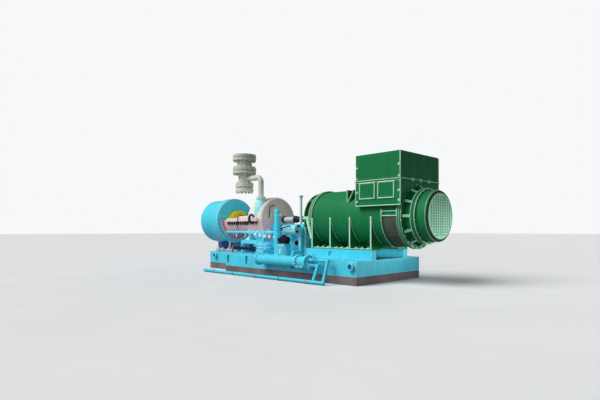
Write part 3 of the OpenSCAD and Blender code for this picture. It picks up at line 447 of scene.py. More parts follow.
    def valve(self, centre, along, up, r, wheel=True):
        """Small globe valve: body, end flanges, bonnet and handwheel."""
        centre, along, up = Vector(centre), Vector(along).normalized(), Vector(up).normalized()
        body = [(0.75 * r, -1.9 * r), (1.0 * r, -1.2 * r), (1.35 * r, -0.5 * r), (1.45 * r, 0.0),
                (1.35 * r, 0.5 * r), (1.0 * r, 1.2 * r), (0.75 * r, 1.9 * r)]
        self.lathe(body, at(centre, along), 18)
        for side in SIDES:
            spot = centre + along * side * 1.9 * r
            self.lathe([(1.7 * r, -0.2 * r), (1.7 * r, 0.2 * r)], at(spot, along), 20)
        self.lathe([(0.9 * r, 0.6 * r), (0.9 * r, 1.7 * r), (1.15 * r, 1.75 * r), (1.15 * r, 2.05 * r),
                    (0.55 * r, 2.15 * r), (0.5 * r, 2.9 * r), (0.22 * r, 2.95 * r), (0.22 * r, 4.1 * r)],
                   at(centre, up), 16)
        if wheel:
            self.handwheel(centre + up * 3.9 * r, up, 1.7 * r)

    def make(self):
        """Makes the piece and lets it ride its body."""
        mesh = bpy.data.meshes.new(self.name)
        mesh.from_pydata([tuple(p) for p in self.points], [], self.faces)
        form = bmesh.new()
        form.from_mesh(mesh)
        bmesh.ops.recalc_face_normals(form, faces=form.faces[:])
        for face in form.faces:
            face.smooth = True
        for edge in form.edges:
            edge.smooth = edge.is_manifold and edge.calc_face_angle(0.0) < SMOOTH_BELOW
        form.to_mesh(mesh)
        form.free()
        mesh.materials.append(self.finish)
        piece = bpy.data.objects.new(self.name, mesh)
        bpy.context.scene.collection.objects.link(piece)
        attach(piece, self.body)


def ends(node, axis):
    """Lowest and highest place of a CAD node along an axis."""
    low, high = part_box(node)
    return low[axis], high[axis]


# Generator

SHELL_R, FAN_RIM_L = 0.62, 0.055
BARREL_X, FAN_X, EXCITER_X = ends("generator_barrel", X), ends("fan_ring", X), ends("exciter_housing", X)
RING_X, CAGE_X = ends("drive_end_ring", X), ends("drive_end_cage", X)
RIM_R, RING_R = ends("fan_ring", Y)[1], ends("drive_end_ring", Y)[1]
EXCITER_R, GRILLE_R = ends("exciter_housing", Y)[1], ends("exciter_grille", Y)[1]
FRONT_RIM_X, FRONT_RIM_R = FAN_X[1] - 0.09, 0.545
BASE_X, BASE_Y, BASE_Z = [ends("terminal_box_base", axis) for axis in (X, Y, Z)]
HOOD_X, HOOD_Y, HOOD_Z = [ends("terminal_box_hood", axis) for axis in (X, Y, Z)]
LIP_Z, SEAM_Z = HOOD_Z[0] + 0.008, HOOD_Z[0] - 0.028

trim = Shape("terminal_box_trim", "pale_green_paint", HIGHLIGHT_GREEN)
for y in BASE_Y:
    for x in BASE_X:
        trim.strip((x, y, BASE_Z[0]), (x, y, BASE_Z[1]), 0.010)
    trim.strip((BASE_X[1], y, LIP_Z), (BASE_X[1], y, HOOD_Z[1] - 0.02), 0.012)
    trim.strip((BASE_X[0], y, BASE_Z[0]), (BASE_X[1], y, BASE_Z[0]), 0.011)
    trim.strip((HOOD_X[0], y, SEAM_Z), (HOOD_X[1], y, SEAM_Z), 0.006)
for y in HOOD_Y:
    trim.strip((HOOD_X[0], y, LIP_Z), (HOOD_X[1], y, LIP_Z), 0.009)
for x in HOOD_X:
    trim.strip((x, HOOD_Y[0], LIP_Z), (x, HOOD_Y[1], LIP_Z), 0.009)

CLAMP_Y, CLAMP_HALF, CLAMP_OUT = (-0.311, -0.016, 0.294), 0.030, 0.024
CORNER_BOLT_Z, CORNER_BOLT_IN = (1.66, 1.85, 2.12, 2.345), 0.034
clamps = Shape("terminal_box_clamps", "pale_green_paint", HIGHLIGHT_GREEN)
for x, out in zip(HOOD_X, SIDES):
    low_x, high_x = sorted((x - out * 0.010, x + out * CLAMP_OUT))
    for y in CLAMP_Y:
        clamps.block((low_x, y - CLAMP_HALF, LIP_Z - 0.040), (high_x, y + CLAMP_HALF, LIP_Z + 0.026), 0.006)
        clamps.bolt((x + out * CLAMP_OUT, y, LIP_Z - 0.008), (out, 0, 0), 0.014)
for side in SIDES:
    for x in (BASE_X[1] - CORNER_BOLT_IN, BASE_X[0] + CORNER_BOLT_IN):
        clamps.bolts([(x, side * BASE_Y[1], z) for z in CORNER_BOLT_Z], (0, side, 0), 0.019)

SEAM_BOLT_R = 0.012
seam = Shape("terminal_box_seam_bolts", "green_paint")
for side in SIDES:
    row = steps(BASE_X[0] + 0.05, BASE_X[1] - 0.05, 10)
    seam.bolts([(x, side * HOOD_Y[1], LIP_Z + 0.03) for x in row], (0, side, 0), SEAM_BOLT_R)
for x, out in zip(BASE_X, SIDES):
    row = steps(BASE_Y[0] + 0.06, BASE_Y[1] - 0.06, 12)
    seam.bolts([(x, y, BASE_Z[1] - 0.05) for y in row], (out, 0, 0), SEAM_BOLT_R)

COVER_X, COVER_W, BORDER, BOLT_IN = (2.165, 2.631), 0.38, 0.011, 0.03
COVER_Y, COVER_Z = ends("terminal_covers_rear", Y), ends("terminal_covers_rear", Z)
frames = Shape("cover_frames", "pale_green_paint", HIGHLIGHT_GREEN)
cover_bolts = Shape("cover_bolts", "green_paint")
for side in SIDES:
    y0, y1 = across(side, COVER_Y[0], COVER_Y[1] + 0.006)
    for x in COVER_X:
        low_x, high_x = x - COVER_W / 2, x + COVER_W / 2
        for z in COVER_Z:
            frames.block((low_x - BORDER, y0, z - BORDER), (high_x + BORDER, y1, z + BORDER))
        for fx in (low_x, high_x):
            frames.block((fx - BORDER, y0, COVER_Z[0]), (fx + BORDER, y1, COVER_Z[1]))
        bolt_x, bolt_z = (low_x + BOLT_IN, high_x - BOLT_IN), (COVER_Z[0] + BOLT_IN, COVER_Z[1] - BOLT_IN)
        spots = [(bx, bz) for bx in steps(*bolt_x, 5) for bz in bolt_z]
        spots += [(bx, bz) for bz in steps(COVER_Z[0] + 0.085, COVER_Z[1] - 0.085, 3) for bx in bolt_x]
        cover_bolts.bolts([(bx, side * COVER_Y[1], bz) for bx, bz in spots], (0, side, 0), 0.0085)

FOOT_X, FOOT_Y = ends("generator_foot_rear", X), ends("generator_foot_rear", Y)[1]
RAIL_TOP, GUSSET_TOP = 0.705, ends("generator_foot_rear", Z)[1]
GUSSET_X, GUSSET_HALF = [2.210 - 0.563 * i for i in range(4)], 0.018
WELD_FIRST, WELD_SWEEP = 88, 57
FOOT_BOLT_STEPS, PAD_HALF, PAD_TOP = (0.14, 0.30, 0.46), 0.04, RAIL_TOP + 0.012
edging = Shape("gusset_edging", "pale_green_paint", HIGHLIGHT_GREEN)
welds = Shape("gusset_welds", "pale_green_paint", HIGHLIGHT_GREEN)
feet = Shape("foot_bolts", "pale_green_paint")
for side in SIDES:
    low_y, high_y = across(side, FOOT_Y, FOOT_Y + 0.006)
    for x in GUSSET_X:
        low_x, high_x = x - GUSSET_HALF, x + GUSSET_HALF
        edging.block((low_x, low_y, RAIL_TOP), (high_x, high_y, GUSSET_TOP - 0.01), 0.003)
        edging.block((low_x - 0.004, low_y - 0.002, GUSSET_TOP - 0.05),
                     (high_x + 0.004, high_y + 0.002, GUSSET_TOP + 0.004), 0.004)
        for weld_x in (low_x - 0.002, high_x + 0.002):
            path = around_shaft(weld_x, SHELL_R + 0.003, 18, 180 - side * WELD_FIRST, side * WELD_SWEEP)
            welds.tube(path, 0.0075, 8)
    edge_y, edge_z = side * FOOT_Y, RAIL_TOP - 0.004
    edging.strip((FOOT_X[0], edge_y, edge_z), (FOOT_X[1], edge_y, edge_z), 0.006)
    y0, y1 = across(side, FOOT_Y - 0.012, FOOT_Y - 0.092)
    for x in [left + step for left in GUSSET_X[1:] for step in FOOT_BOLT_STEPS]:
        feet.block((x - PAD_HALF, y0, RAIL_TOP - 0.002), (x + PAD_HALF, y1, PAD_TOP), 0.004)
        feet.nut((x, (y0 + y1) / 2, PAD_TOP), UP, 0.017)

SCREEN_X, SCREEN_R = ends("air_screen", X), ends("air_screen", Y)[1] + 0.003
SCREEN_FROM, SCREEN_TO, WIRE_R = 92, 268, 0.0022
wire = Shape("air_screen_wire", "screen_mesh")
for angles, r, n, inset in ((steps(SCREEN_FROM, SCREEN_TO, 60), WIRE_R, 4, 0.005), ((126, 234), 0.007, 8, 0)):
    for p in [next(around_shaft(SCREEN_X[0] + inset, SCREEN_R, 1, a)) for a in angles]:
        wire.rod(p, (SCREEN_X[1] - inset, p.y, p.z), r, n)
for x in steps(SCREEN_X[0] + 0.015, SCREEN_X[1] - 0.015, 12):
    wire.tube(around_shaft(x, SCREEN_R, 45, SCREEN_FROM, SCREEN_TO - SCREEN_FROM), WIRE_R, 4)

RIB_X, BEAD_R, FRAME_Y, FRAME_Z = SCREEN_X[0] - 0.0125, 0.010, 0.632, (1.371, 1.461)
FRAME_END_Y, FRAME_END_Z, FRAME_END_HALF = 0.628, (1.36, 1.50), 0.016
beads = Shape("generator_rim_beads", "pale_green_paint", HIGHLIGHT_GREEN)
beads.tube(around_shaft(RIB_X, 0.641, 60, 86, 188), BEAD_R, 8)
for side in SIDES:
    for z in FRAME_Z:
        beads.rod((RIB_X, side * FRAME_Y, z), (SCREEN_X[1], side * FRAME_Y, z), BEAD_R, 8)
    for x in (RIB_X, SCREEN_X[1] - 0.004):
        y = side * FRAME_END_Y
        beads.block((x - FRAME_END_HALF, y - FRAME_END_HALF, FRAME_END_Z[0]),
                    (x + FRAME_END_HALF, y + FRAME_END_HALF, FRAME_END_Z[1]), 0.006)
hoops = [(x, RIM_R, 0.005) for x in steps(BARREL_X[1] - 0.038, FAN_X[0] + FAN_RIM_L, 3)]
hoops += [(x, FRONT_RIM_R + 0.001, 0.009) for x in (FRONT_RIM_X, FAN_X[1])]
hoops += [(x, RING_R, 0.006) for x in (RING_X[0], RING_X[0] + 0.026, RING_X[1] - 0.026, RING_X[1])]
hoops += [(EXCITER_X[1] - 0.036, EXCITER_R - 0.001, 0.005)]
for x, r, wire_r in hoops:
    beads.hoop((x, 0, SHAFT_Z), ALONG, r, wire_r, 96, 6)

STRAPS, STRAP_R, STRAP_SLOPE = 12, 0.612, math.atan2(0.08, 0.135)
fan_straps = Shape("fan_ring_straps", "pale_green_paint", HIGHLIGHT_GREEN)
for k in range(STRAPS):
    turn = Matrix.Translation((0, 0, SHAFT_Z)) @ Matrix.Rotation(math.tau * k / STRAPS, 4, "X")
    lean = Matrix.Translation((FAN_X[0] + FAN_RIM_L, 0, STRAP_R)) @ Matrix.Rotation(STRAP_SLOPE, 4, "Y")
    fan_straps.block((0.006, -0.026, -0.004), (0.150, 0.026, 0.006), 0.003, turn @ lean)

ring_bolts = Shape("generator_ring_bolts", "pale_green_paint")
ring_bolts.bolts(around_shaft(FAN_X[0] + FAN_RIM_L, 0.630, 24, 7.5), ALONG, 0.014)
ring_bolts.bolts(around_shaft(FAN_X[1], 0.526, 24, 7.5), ALONG, 0.011)
ring_bolts.bolts(around_shaft(RING_X[0], 0.624, 24, 7.5), LEFT, 0.014)
ring_bolts.bolts(around_shaft(CAGE_X[0], 0.572, 16, 11.25), LEFT, 0.014)

ROUND_R = 0.045


def on_round(a, off):
    """A (radius, height) pair at an angle on the exciter's rounded rim, a distance off its surface."""
    reach = ROUND_R + off
    return EXCITER_R - ROUND_R + reach * math.sin(a), EXCITER_X[1] - ROUND_R + reach * math.cos(a)


gasket = Shape("grille_gasket", "black_paint", RUBBER)
arc = [math.radians(a) for a in steps(44, 0, 6)]
outline = [on_round(a, 0.003) for a in arc]
outline += [(GRILLE_R + 0.001, EXCITER_X[1] + 0.003), (GRILLE_R + 0.001, EXCITER_X[1] - 0.004)]
outline += [on_round(a, -0.006) for a in reversed(arc)]
gasket.lathe(outline, at((0, 0, SHAFT_Z), ALONG), 96, ring=True)

PITCH_Y, PITCH_Z, SLOT_HALF_Y, SLOT_HALF_Z, GRILLE_MARGIN = 0.084, 0.052, 0.013, 0.017, 0.043
louvres = Shape("grille_louvres", "pale_green_paint", HIGHLIGHT_GREEN)
# Dark blocks sunk in each grille slot: painted shade in the slots.
slots = Shape("grille_slot_shade", "pale_green_paint", SLOT_SHADE_GREEN)
for i in range(-4, 5):
    for k in range(-7, 8):
        y, z = i * PITCH_Y, SHAFT_Z + k * PITCH_Z
        if math.hypot(y, k * PITCH_Z) < GRILLE_R - GRILLE_MARGIN:
            slots.block((EXCITER_X[1] - 0.006, y - SLOT_HALF_Y, z - SLOT_HALF_Z),
                        (EXCITER_X[1] + 0.010, y + SLOT_HALF_Y, z + SLOT_HALF_Z), 0.001)
            louvres.block((EXCITER_X[1] + 0.008, y + SLOT_HALF_Y, z - 0.016),
                          (EXCITER_X[1] + 0.016, y + 0.030, z + 0.012), 0.003)

LUG_X, LUG_Y, LUG_Z = [ends("lifting_lugs", axis) for axis in (X, Y, Z)]
LUG_EDGE_X, LUG_EDGE_R = LUG_X[0] + 0.017, 0.009
lug_edges = Shape("lifting_lug_edges", "pale_green_paint", HIGHLIGHT_GREEN)
for y in LUG_Y:
    lug_edges.strip((LUG_EDGE_X, y, LUG_Z[0] + 0.02), (LUG_EDGE_X, y, LUG_Z[1]), LUG_EDGE_R)
    lug_edges.rod((LUG_X[0] + 0.034, y, LUG_Z[0] + 0.03), (LUG_X[1] - 0.006, y, LUG_Z[1] - 0.03),
                  LUG_EDGE_R, 8)

GUARD_X = ends("oil_reservoir", X)[1]
dust_guard = Shape("drive_end_dust_guard", "black_paint", DARK_SCREEN)
dust_guard.block((GUARD_X + 0.002, -0.57, 0.72), (GUARD_X + 0.012, 0.57, 1.222), 0.003)
for z in steps(0.76, 1.18, 8):
    dust_guard.strip((GUARD_X + 0.013, -0.56, z), (GUARD_X + 0.013, 0.56, z), 0.004)

winding = Shape("winding_overhang", "winding_varnish")
winding.lathe([(0.42, 0.27), (0.50, 0.245), (0.536, 0.26), (0.542, 0.395), (0.42, 0.395)],
              at((0, 0, SHAFT_Z), ALONG), 72, ring=True)
for p in around_shaft(0, 0.538, 48):
    winding.rod((0.262, p.y, p.z), (0.395, p.y, p.z), 0.010, 6)

SPLIT_Z, SPLIT_BOLT_Y, SPLIT_BOLT_R = (1.335, 1.385), 0.60, 0.018
WEDGE = [(0.28, 1.335), (0.40, 1.345), (0.478, 0.90), (0.44, 0.89)]
split = Shape("drive_end_split", "pale_green_paint")
for side in SIDES:
    y0, y1 = across(side, 0.56, 0.635)
    split.block((CAGE_X[0] - 0.004, y0, SPLIT_Z[0]), (RING_X[0], y1, SPLIT_Z[1]), 0.006)
    for z, axis in zip(SPLIT_Z, (DOWN, UP)):
        row = steps(CAGE_X[0] + 0.03, RING_X[0] - 0.03, 4)
        split.nuts([(x, side * SPLIT_BOLT_Y, z) for x in row], axis, SPLIT_BOLT_R)
    split.plate(WEDGE, *across(side, 0.606, 0.618))


# Turbine

FLANGE_TOP, FLANGE_LOW = SHAFT_Z + 0.035, SHAFT_Z - 0.035
DRUM_X, DRUM_BAND_R = ends("exhaust_drum", X)[1], ends("exhaust_drum", Y)[1]
# Places in X and Y, sizes of upper nut, stud and lower nut, stud length
JOINT_ROWS = ((steps(-3.12, -2.12, 11), 0.436, 0.028, 0.020, 0.033, 0.105),
              (steps(-2.00, -1.54, 5), 0.646, 0.026, 0.018, 0.030, 0.10))
joint_nuts = Shape("casing_joint_nuts", "casing_cladding")
# The studs and lower nuts are dark oiled steel; their dark row under the joint flange also stands in for the
# shade there, so partly painted shade.
joint_studs = Shape("casing_joint_studs", "dark_steel")
for row, joint_y, nut_r, stud_r, low_nut_r, stud_l in JOINT_ROWS:
    for x, side in [(x, side) for side in SIDES for x in row]:
        joint_nuts.nut((x, side * joint_y, FLANGE_TOP), UP, nut_r)
        y = side * (joint_y + 0.004)
        joint_studs.rod((x, y, FLANGE_LOW - stud_l), (x, y, FLANGE_LOW), stud_r, 10)
        joint_studs.nut((x, y, FLANGE_LOW - 0.03), DOWN, low_nut_r)

SHACKLE_X, SHACKLE_Y, SHACKLE_Z, SHACKLE_R = -1.66, 0.71, 1.378, 0.105
shackles = Shape("casing_shackles", "black_paint")
for side in SIDES:
    turns = [math.radians(a) for a in steps(-215, 62, 22)]
    ring = [(SHACKLE_X + SHACKLE_R * math.sin(a), side * SHACKLE_Y, SHACKLE_Z + SHACKLE_R * math.cos(a))
            for a in turns]
    shackles.tube(ring, 0.028, 10)

flange_nuts = Shape("casing_flange_nuts", "casing_primer", RED_PRIMER)
flange_nuts.nuts(around_shaft(-3.315, 0.490, 17, 95, 170), ALONG, 0.030)

cap_nuts = Shape("gland_cap_nuts", "yellow_paint")
cap_nuts.nuts(around_shaft(-3.185, 0.265, 9, -80, 160), ALONG, 0.017)

drum_trim = Shape("drum_trim", "pale_cyan_paint")
drum_trim.bolts(around_shaft(DRUM_X, 0.632, 36, 5), ALONG, 0.012)
for side in SIDES:
    y0, y1 = across(side, 0.355, 0.60)
    drum_trim.block((DRUM_X - 0.002, y0, 1.484), (DRUM_X + 0.006, y1, 1.498), 0.002)
for x in (DRUM_X - 0.24, DRUM_X - 0.16, DRUM_X - 0.04):
    drum_trim.hoop((x, 0, SHAFT_Z), ALONG, DRUM_BAND_R + 0.001, 0.007, 96, 6)

head_nuts = Shape("exhaust_flange_nuts", "dark_steel")
head_nuts.nuts(around_shaft(ends("exhaust_head", X)[0] + 0.04, 0.405, 24, 7.5), ALONG, 0.020)

case_nuts = Shape("wheel_case_nuts", "casing_cladding")
case_nuts.nuts(around_shaft(-1.43, 0.555, 18, -85, 170), ALONG, 0.018)
case_nuts.bolts(around_shaft(-1.22, 0.118, 5, -72, 144), ALONG, 0.010)

FACE_LEAD = [(-1.42, -0.144, 1.752), (-1.395, -0.160, 1.748), (-1.395, -0.313, 1.690),
             (-1.395, -0.330, 1.480), (-1.43, -0.335, 1.42)]
SIDE_LEAD = [(-2.60, -0.30, 1.50), (-2.60, -0.47, 1.47), (-2.60, -0.50, 1.20), (-2.60, -0.44, 1.10)]
leads = Shape("casing_leads", "black_paint")
leads.tube(FACE_LEAD, 0.012, 8, 0.03)
leads.tube(SIDE_LEAD, 0.010, 8, 0.04)

DRAIN_Y, DRAIN_Z = -0.54, DECK_TOP + 0.045
drains = Shape("drain_valves", "pale_steel")
for x, y in ((-3.46, -0.53), (-3.22, -0.56), (-2.98, -0.52), (-2.74, -0.56)):
    drains.valve((x, y, DRAIN_Z), ALONG, UP, 0.026, wheel=False)
drains.tube([(-3.58, DRAIN_Y, DRAIN_Z), (-2.55, DRAIN_Y, DRAIN_Z), (-2.55, DRAIN_Y, DECK_TOP)],
            0.013, 8, 0.03)

TRAP_X, TRAP_Y, TRAP_Z = (-2.66, -1.72), -0.62, 0.60
traps = Shape("drain_traps", "dark_steel")
for x in steps(-2.52, -1.86, 5):
    traps.valve((x, TRAP_Y, TRAP_Z), ALONG, UP, 0.022)
traps.tube([(TRAP_X[0], TRAP_Y, DECK_TOP), (TRAP_X[0], TRAP_Y, TRAP_Z), (TRAP_X[1], TRAP_Y, TRAP_Z),
            (TRAP_X[1], TRAP_Y, DECK_TOP)], 0.012, 8, 0.04)

# Navy block on the tongue under the exhaust drum, filling the dark gap there: painted shade, a dark box
# standing where only shade is seen.
SHADE_BOX_X, SHADE_BOX_Y, SHADE_BOX_TOP = (-3.25, -2.40), 0.24, 0.69
shade_box = Shape("navy_shade_box", "navy_paint")
shade_box.block((SHADE_BOX_X[0], -SHADE_BOX_Y, DECK_TOP + 0.004), (SHADE_BOX_X[1], SHADE_BOX_Y, SHADE_BOX_TOP), 0.015)
for side in SIDES:
    row = steps(SHADE_BOX_X[0] + 0.10, SHADE_BOX_X[1] - 0.10, 5)
    shade_box.bolts([(x, side * 0.20, SHADE_BOX_TOP) for x in row], UP, 0.012)
    shade_box.bolts([(x, side * SHADE_BOX_Y, 0.58) for x in row], (0, side, 0), 0.014)

SUPPORT_X, SUPPORT_Y = ends("casing_support", X)[0], ends("casing_support", Y)[1]
BLOCK_Y, FOOT_TOP, FOOT_BOLT_IN = 0.42, DECK_TOP + 0.014, 0.018
support_feet = Shape("support_feet", "cyan_paint")
support_bolts = Shape("support_bolts", "dark_steel", ZINC)
for side in SIDES:
    x0, x1 = SUPPORT_X - 0.04, SUPPORT_X + 0.12
    y0, y1 = across(side, SUPPORT_Y - 0.12, SUPPORT_Y + 0.04)
    support_feet.block((x0, y0, DECK_TOP), (x1, y1, FOOT_TOP))
    for x in (x0 + FOOT_BOLT_IN, x1 - FOOT_BOLT_IN):
        support_bolts.bolts([(x, y, FOOT_TOP) for y in (y0 + FOOT_BOLT_IN, y1 - FOOT_BOLT_IN)], UP, 0.011)
    y0, y1 = across(side, BLOCK_Y, BLOCK_Y + 0.055)
    support_feet.block((-1.84, y0, DECK_TOP), (-1.56, y1, FOOT_TOP))
    support_bolts.bolts([(x, side * (BLOCK_Y + 0.03), FOOT_TOP) for x in steps(-1.80, -1.60, 3)], UP, 0.013)
    for x in (-3.435, -3.345):
        support_bolts.bolts([(x, side * 0.20 + dy, DECK_TOP + 0.02) for dy in (-0.045, 0.045)], UP, 0.010)
    support_bolts.nuts([(-1.315 + dx, side * 0.33, 0.52) for dx in (-0.06, 0.06)], UP, 0.016)


# Steam line

STEAM_Y, VALVE_X, CHEST_X = -0.42, -2.365, -1.634
VALVE_Z, VALVE_FLANGE_T, VALVE_PAIR_T = ends("stop_valve", Z), 0.071, 0.157
BLIND_Z, BLIND_T = ends("drip_leg", Z)[0], 0.09
CHEST_TOP, STUD_R, STUD_IN = ends("steam_chest", Z)[1], 0.016, 0.002
post = (VALVE_X, STEAM_Y, 0)
studs = Shape("steam_flange_studs", "grey_cladding")
for x, y, _ in around_post(post, 0.278, 16, 11.25):
    for low, high in ((VALVE_Z[0], VALVE_Z[0] + VALVE_PAIR_T), (VALVE_Z[1] - VALVE_PAIR_T, VALVE_Z[1])):
        studs.nut((x, y, low), DOWN, 0.029)
        if high < VALVE_Z[1]:
            studs.nut((x, y, high), UP, 0.029)
        studs.rod((x, y, low + VALVE_FLANGE_T - STUD_IN), (x, y, high - VALVE_FLANGE_T + STUD_IN), STUD_R, 8)
for x, y, _ in around_post(post, 0.205, 12, 15):
    studs.nut((x, y, BLIND_Z), DOWN, 0.030)
    studs.nut((x, y, BLIND_Z + 2 * BLIND_T + 0.038), UP, 0.030)
    studs.rod((x, y, BLIND_Z + BLIND_T - STUD_IN), (x, y, BLIND_Z + BLIND_T + 0.04), STUD_R, 8)
for x, y, _ in around_post((CHEST_X, STEAM_Y, 0), 0.102, 8, 22.5):
    studs.nut((x, y, CHEST_TOP - 0.03), DOWN, 0.014)
    studs.nut((x, y, CHEST_TOP + 0.03), UP, 0.014)

jacket = Shape("steam_chest_jacket", "pale_cyan_paint")
jacket.lathe([(0.172, 1.545), (0.178, 1.56), (0.160, 1.70), (0.118, 1.86), (0.100, 1.875)],
             at((CHEST_X, STEAM_Y, 0)), 36)

PIPE_BAND, LEG_BAND = (0.0705, 0.0745, 0.022, 32, 0.001), (0.1615, 0.1660, 0.024, 40, 0.001)
bands = Shape("steam_pipe_bands", "grey_cladding")
for z in (2.02, 2.20, 2.36):
    bands.band((CHEST_X, STEAM_Y, z), UP, *PIPE_BAND)
for z in (2.42, 2.56):
    bands.band((VALVE_X, STEAM_Y, z), UP, *LEG_BAND)
for x in (-2.10, -1.90):
    bands.band((x, STEAM_Y, 2.477), ALONG, *PIPE_BAND)


# Oil and water system

TANK_X, TANK_Y, TANK_TOP = ends("oil_reservoir", X), ends("oil_reservoir", Y)[0], 1.23
VENT, VENT_TOP = (-0.077, -0.43), ends("oil_reservoir", Z)[1]
sleeve = Shape("vent_sleeve", "pale_cyan_paint", WHITE)
sleeve.lathe([(0.0286, 1.24), (0.033, 1.245), (0.033, VENT_TOP - 0.075), (0.0286, VENT_TOP - 0.07)],
             at((*VENT, 0)), 24, ring=True)
sleeve.lathe([(0.0505, VENT_TOP - 0.046), (0.053, VENT_TOP - 0.042), (0.053, VENT_TOP - 0.002),
              (0.030, VENT_TOP + 0.01)], at((*VENT, 0)), 24)
sleeve.bolts(around_post((*VENT, TANK_TOP), 0.05, 6), UP, 0.009)

PORTS, PORT_R = ((-0.391, 0.705), (-0.043, 0.78)), 0.07
PORT_BOLT_CIRCLE, GLASS_R = PORT_R + 0.03, PORT_R - 0.004
tank = Shape("reservoir_fittings", "pale_cyan_paint")
glass = Shape("reservoir_sight_glasses", "black_paint")
for x, z in PORTS:
    tank.hoop((x, TANK_Y, z), FORWARD, PORT_R + 0.008, 0.010, 32, 8)
    for a in [math.tau * k / 8 for k in range(8)]:
        tank.bolt((x + PORT_BOLT_CIRCLE * math.cos(a), TANK_Y, z + PORT_BOLT_CIRCLE * math.sin(a)),
                  FORWARD, 0.009)
    glass.lathe([(GLASS_R, 0), (GLASS_R, 0.004), (0.8 * GLASS_R, 0.007)],
                at((x, TANK_Y + 0.006, z), FORWARD), 28)
for side in SIDES:
    row = steps(TANK_X[0] + 0.05, TANK_X[1] - 0.05, 6)
    tank.bolts([(x, side * 0.55, TANK_TOP) for x in row], UP, 0.011)
level_y, drain_y = TANK_Y - 0.04, TANK_Y - 0.05
tank.tube([(0.10, TANK_Y, 1.12), (0.10, level_y, 1.12), (0.10, level_y, 0.66), (0.10, TANK_Y, 0.66)],
          0.020, 10, 0.03)
tank.tube([(0.145, TANK_Y, 1.00), (0.145, drain_y, 1.00), (0.145, drain_y, DECK_TOP)], 0.024, 10, 0.04)
tank.block((-0.50, TANK_Y - 0.06, 0.98), (-0.36, TANK_Y, 1.16), 0.008)
tank.block((0.03, TANK_Y - 0.045, 0.86), (0.08, TANK_Y, 1.02), 0.006)

RETURN_X = TANK_X[1] + 0.034
returns = Shape("tank_return_lines", "pale_cyan_paint")
for y, top in zip(steps(-0.552, -0.322, 6), steps(1.15, 0.76, 6)):
    returns.tube([(RETURN_X, y, DECK_TOP), (RETURN_X, y, top), (TANK_X[1], y, top)], 0.018, 12, 0.03)
    for z in (DECK_TOP + 0.06, top - 0.07):
        returns.lathe([(0.026, 0), (0.029, 0.003), (0.029, 0.015), (0.026, 0.018)], at((RETURN_X, y, z)), 18)

STAND_X, STAND_Y = ends("oil_pump_stand", X), ends("oil_pump_stand", Y)[0]
STAND_TOP, FILTER_LINE_Y, LINE = ends("oil_pump_stand", Z)[1], -0.958, (0.009, 8, 0.03)
lines = Shape("small_bore_lines", "pale_cyan_paint")
for inset in (0.035, 0.075):
    y, low_x, high_x, top = STAND_Y - 0.011, STAND_X[0] + inset, STAND_X[1] - inset, STAND_TOP - inset
    lines.tube([(low_x, y, DECK_TOP), (low_x, y, top), (high_x, y, top), (high_x, y, DECK_TOP)], *LINE)
    x, y, top = STAND_X[1] + 0.011, STAND_Y + inset, STAND_TOP - 1.6 * inset
    lines.tube([(x, y, DECK_TOP), (x, y, top), (x, -0.66, top), (x, TANK_Y, top)], *LINE)
lines.block((STAND_X[0] + 0.11, STAND_Y - 0.022, 0.55), (STAND_X[1] - 0.11, STAND_Y, 0.66), 0.005)
for z, low_x, high_x in ((0.57, -1.14, -0.72), (0.66, -1.11, -0.75), (0.72, -1.08, -0.78)):
    lines.tube([(low_x, -0.70, z), (low_x, FILTER_LINE_Y, z), (high_x, FILTER_LINE_Y, z), (high_x, -0.70, z)],
               *LINE)
for x in (-0.93, -0.80, -1.06):
    lines.tube([(x, FILTER_LINE_Y, 0.72), (x, FILTER_LINE_Y, DECK_TOP)], 0.007, 8)

PUMP_Y, MOTOR_Z, MOTOR_R, MOTOR_X = -0.90, 0.86, 0.07, ends("oil_pump_motor", X)
LEVER = [(-0.25, -0.88, 1.085), (-0.297, -0.88, 1.122), (0.012, -0.88, 1.182)]
motor = Shape("oil_pump_fittings", "black_paint")
for x in steps(MOTOR_X[0] + 0.02, MOTOR_X[1] - 0.02, 9):
    motor.band((x, PUMP_Y, MOTOR_Z), ALONG, MOTOR_R - 0.001, MOTOR_R + 0.008, 0.006, 32, 0.001)
motor.lathe([(0.066, 0), (0.078, 0.01), (0.078, 0.05), (0.05, 0.075)],
            at((MOTOR_X[1], PUMP_Y, MOTOR_Z), ALONG), 28)
motor.rod((MOTOR_X[0] - 0.09, PUMP_Y, MOTOR_Z), (MOTOR_X[0], PUMP_Y, MOTOR_Z), 0.045, 20, 0.006)
motor.block((MOTOR_X[0] - 0.05, PUMP_Y - 0.10, 0.772), (MOTOR_X[1] + 0.09, PUMP_Y + 0.02, 0.80), 0.006)
motor.tube(LEVER, 0.014, 8, 0.02)
motor.rod(LEVER[-1], (0.012, -0.88, 1.16), 0.022, 10)
for spot in ((0.168, -0.735, 1.181), (0.168, -0.78, 1.05)):
    motor.lathe([(0.024, -0.02), (0.030, -0.01), (0.030, 0.012), (0.018, 0.024)], at(spot, ALONG), 14)

STRAINER_X, STRAINER_Y, STRAINER_Z = ends("oil_strainer", X), -0.735, 1.09
FILTER_Y, FILTER_TOP, ACCUMULATOR = -0.86, 0.76, (-0.625, -0.72)
filters = Shape("oil_filter_fittings", "pale_cyan_paint")
for x, out in zip(STRAINER_X, (LEFT, ALONG)):
    filters.nuts(around_level((x, STRAINER_Y, STRAINER_Z), 0.113, 12), out, 0.009)
for x in (-0.83, -1.03):
    filters.nuts(around_post((x, FILTER_Y, FILTER_TOP), 0.078, 8), UP, 0.010)
    filters.rod((x, FILTER_Y, FILTER_TOP), (x, FILTER_Y, FILTER_TOP + 0.04), 0.022, 12, 0.004)
    filters.hoop((x, FILTER_Y, 0.62), UP, 0.082, 0.005, 32, 6)
filters.bolts(around_post((*ACCUMULATOR, 0.505), 0.078, 6), UP, 0.010)
for z in (1.0, 1.45):
    filters.hoop((*ACCUMULATOR, z), UP, 0.066, 0.006, 32, 6)

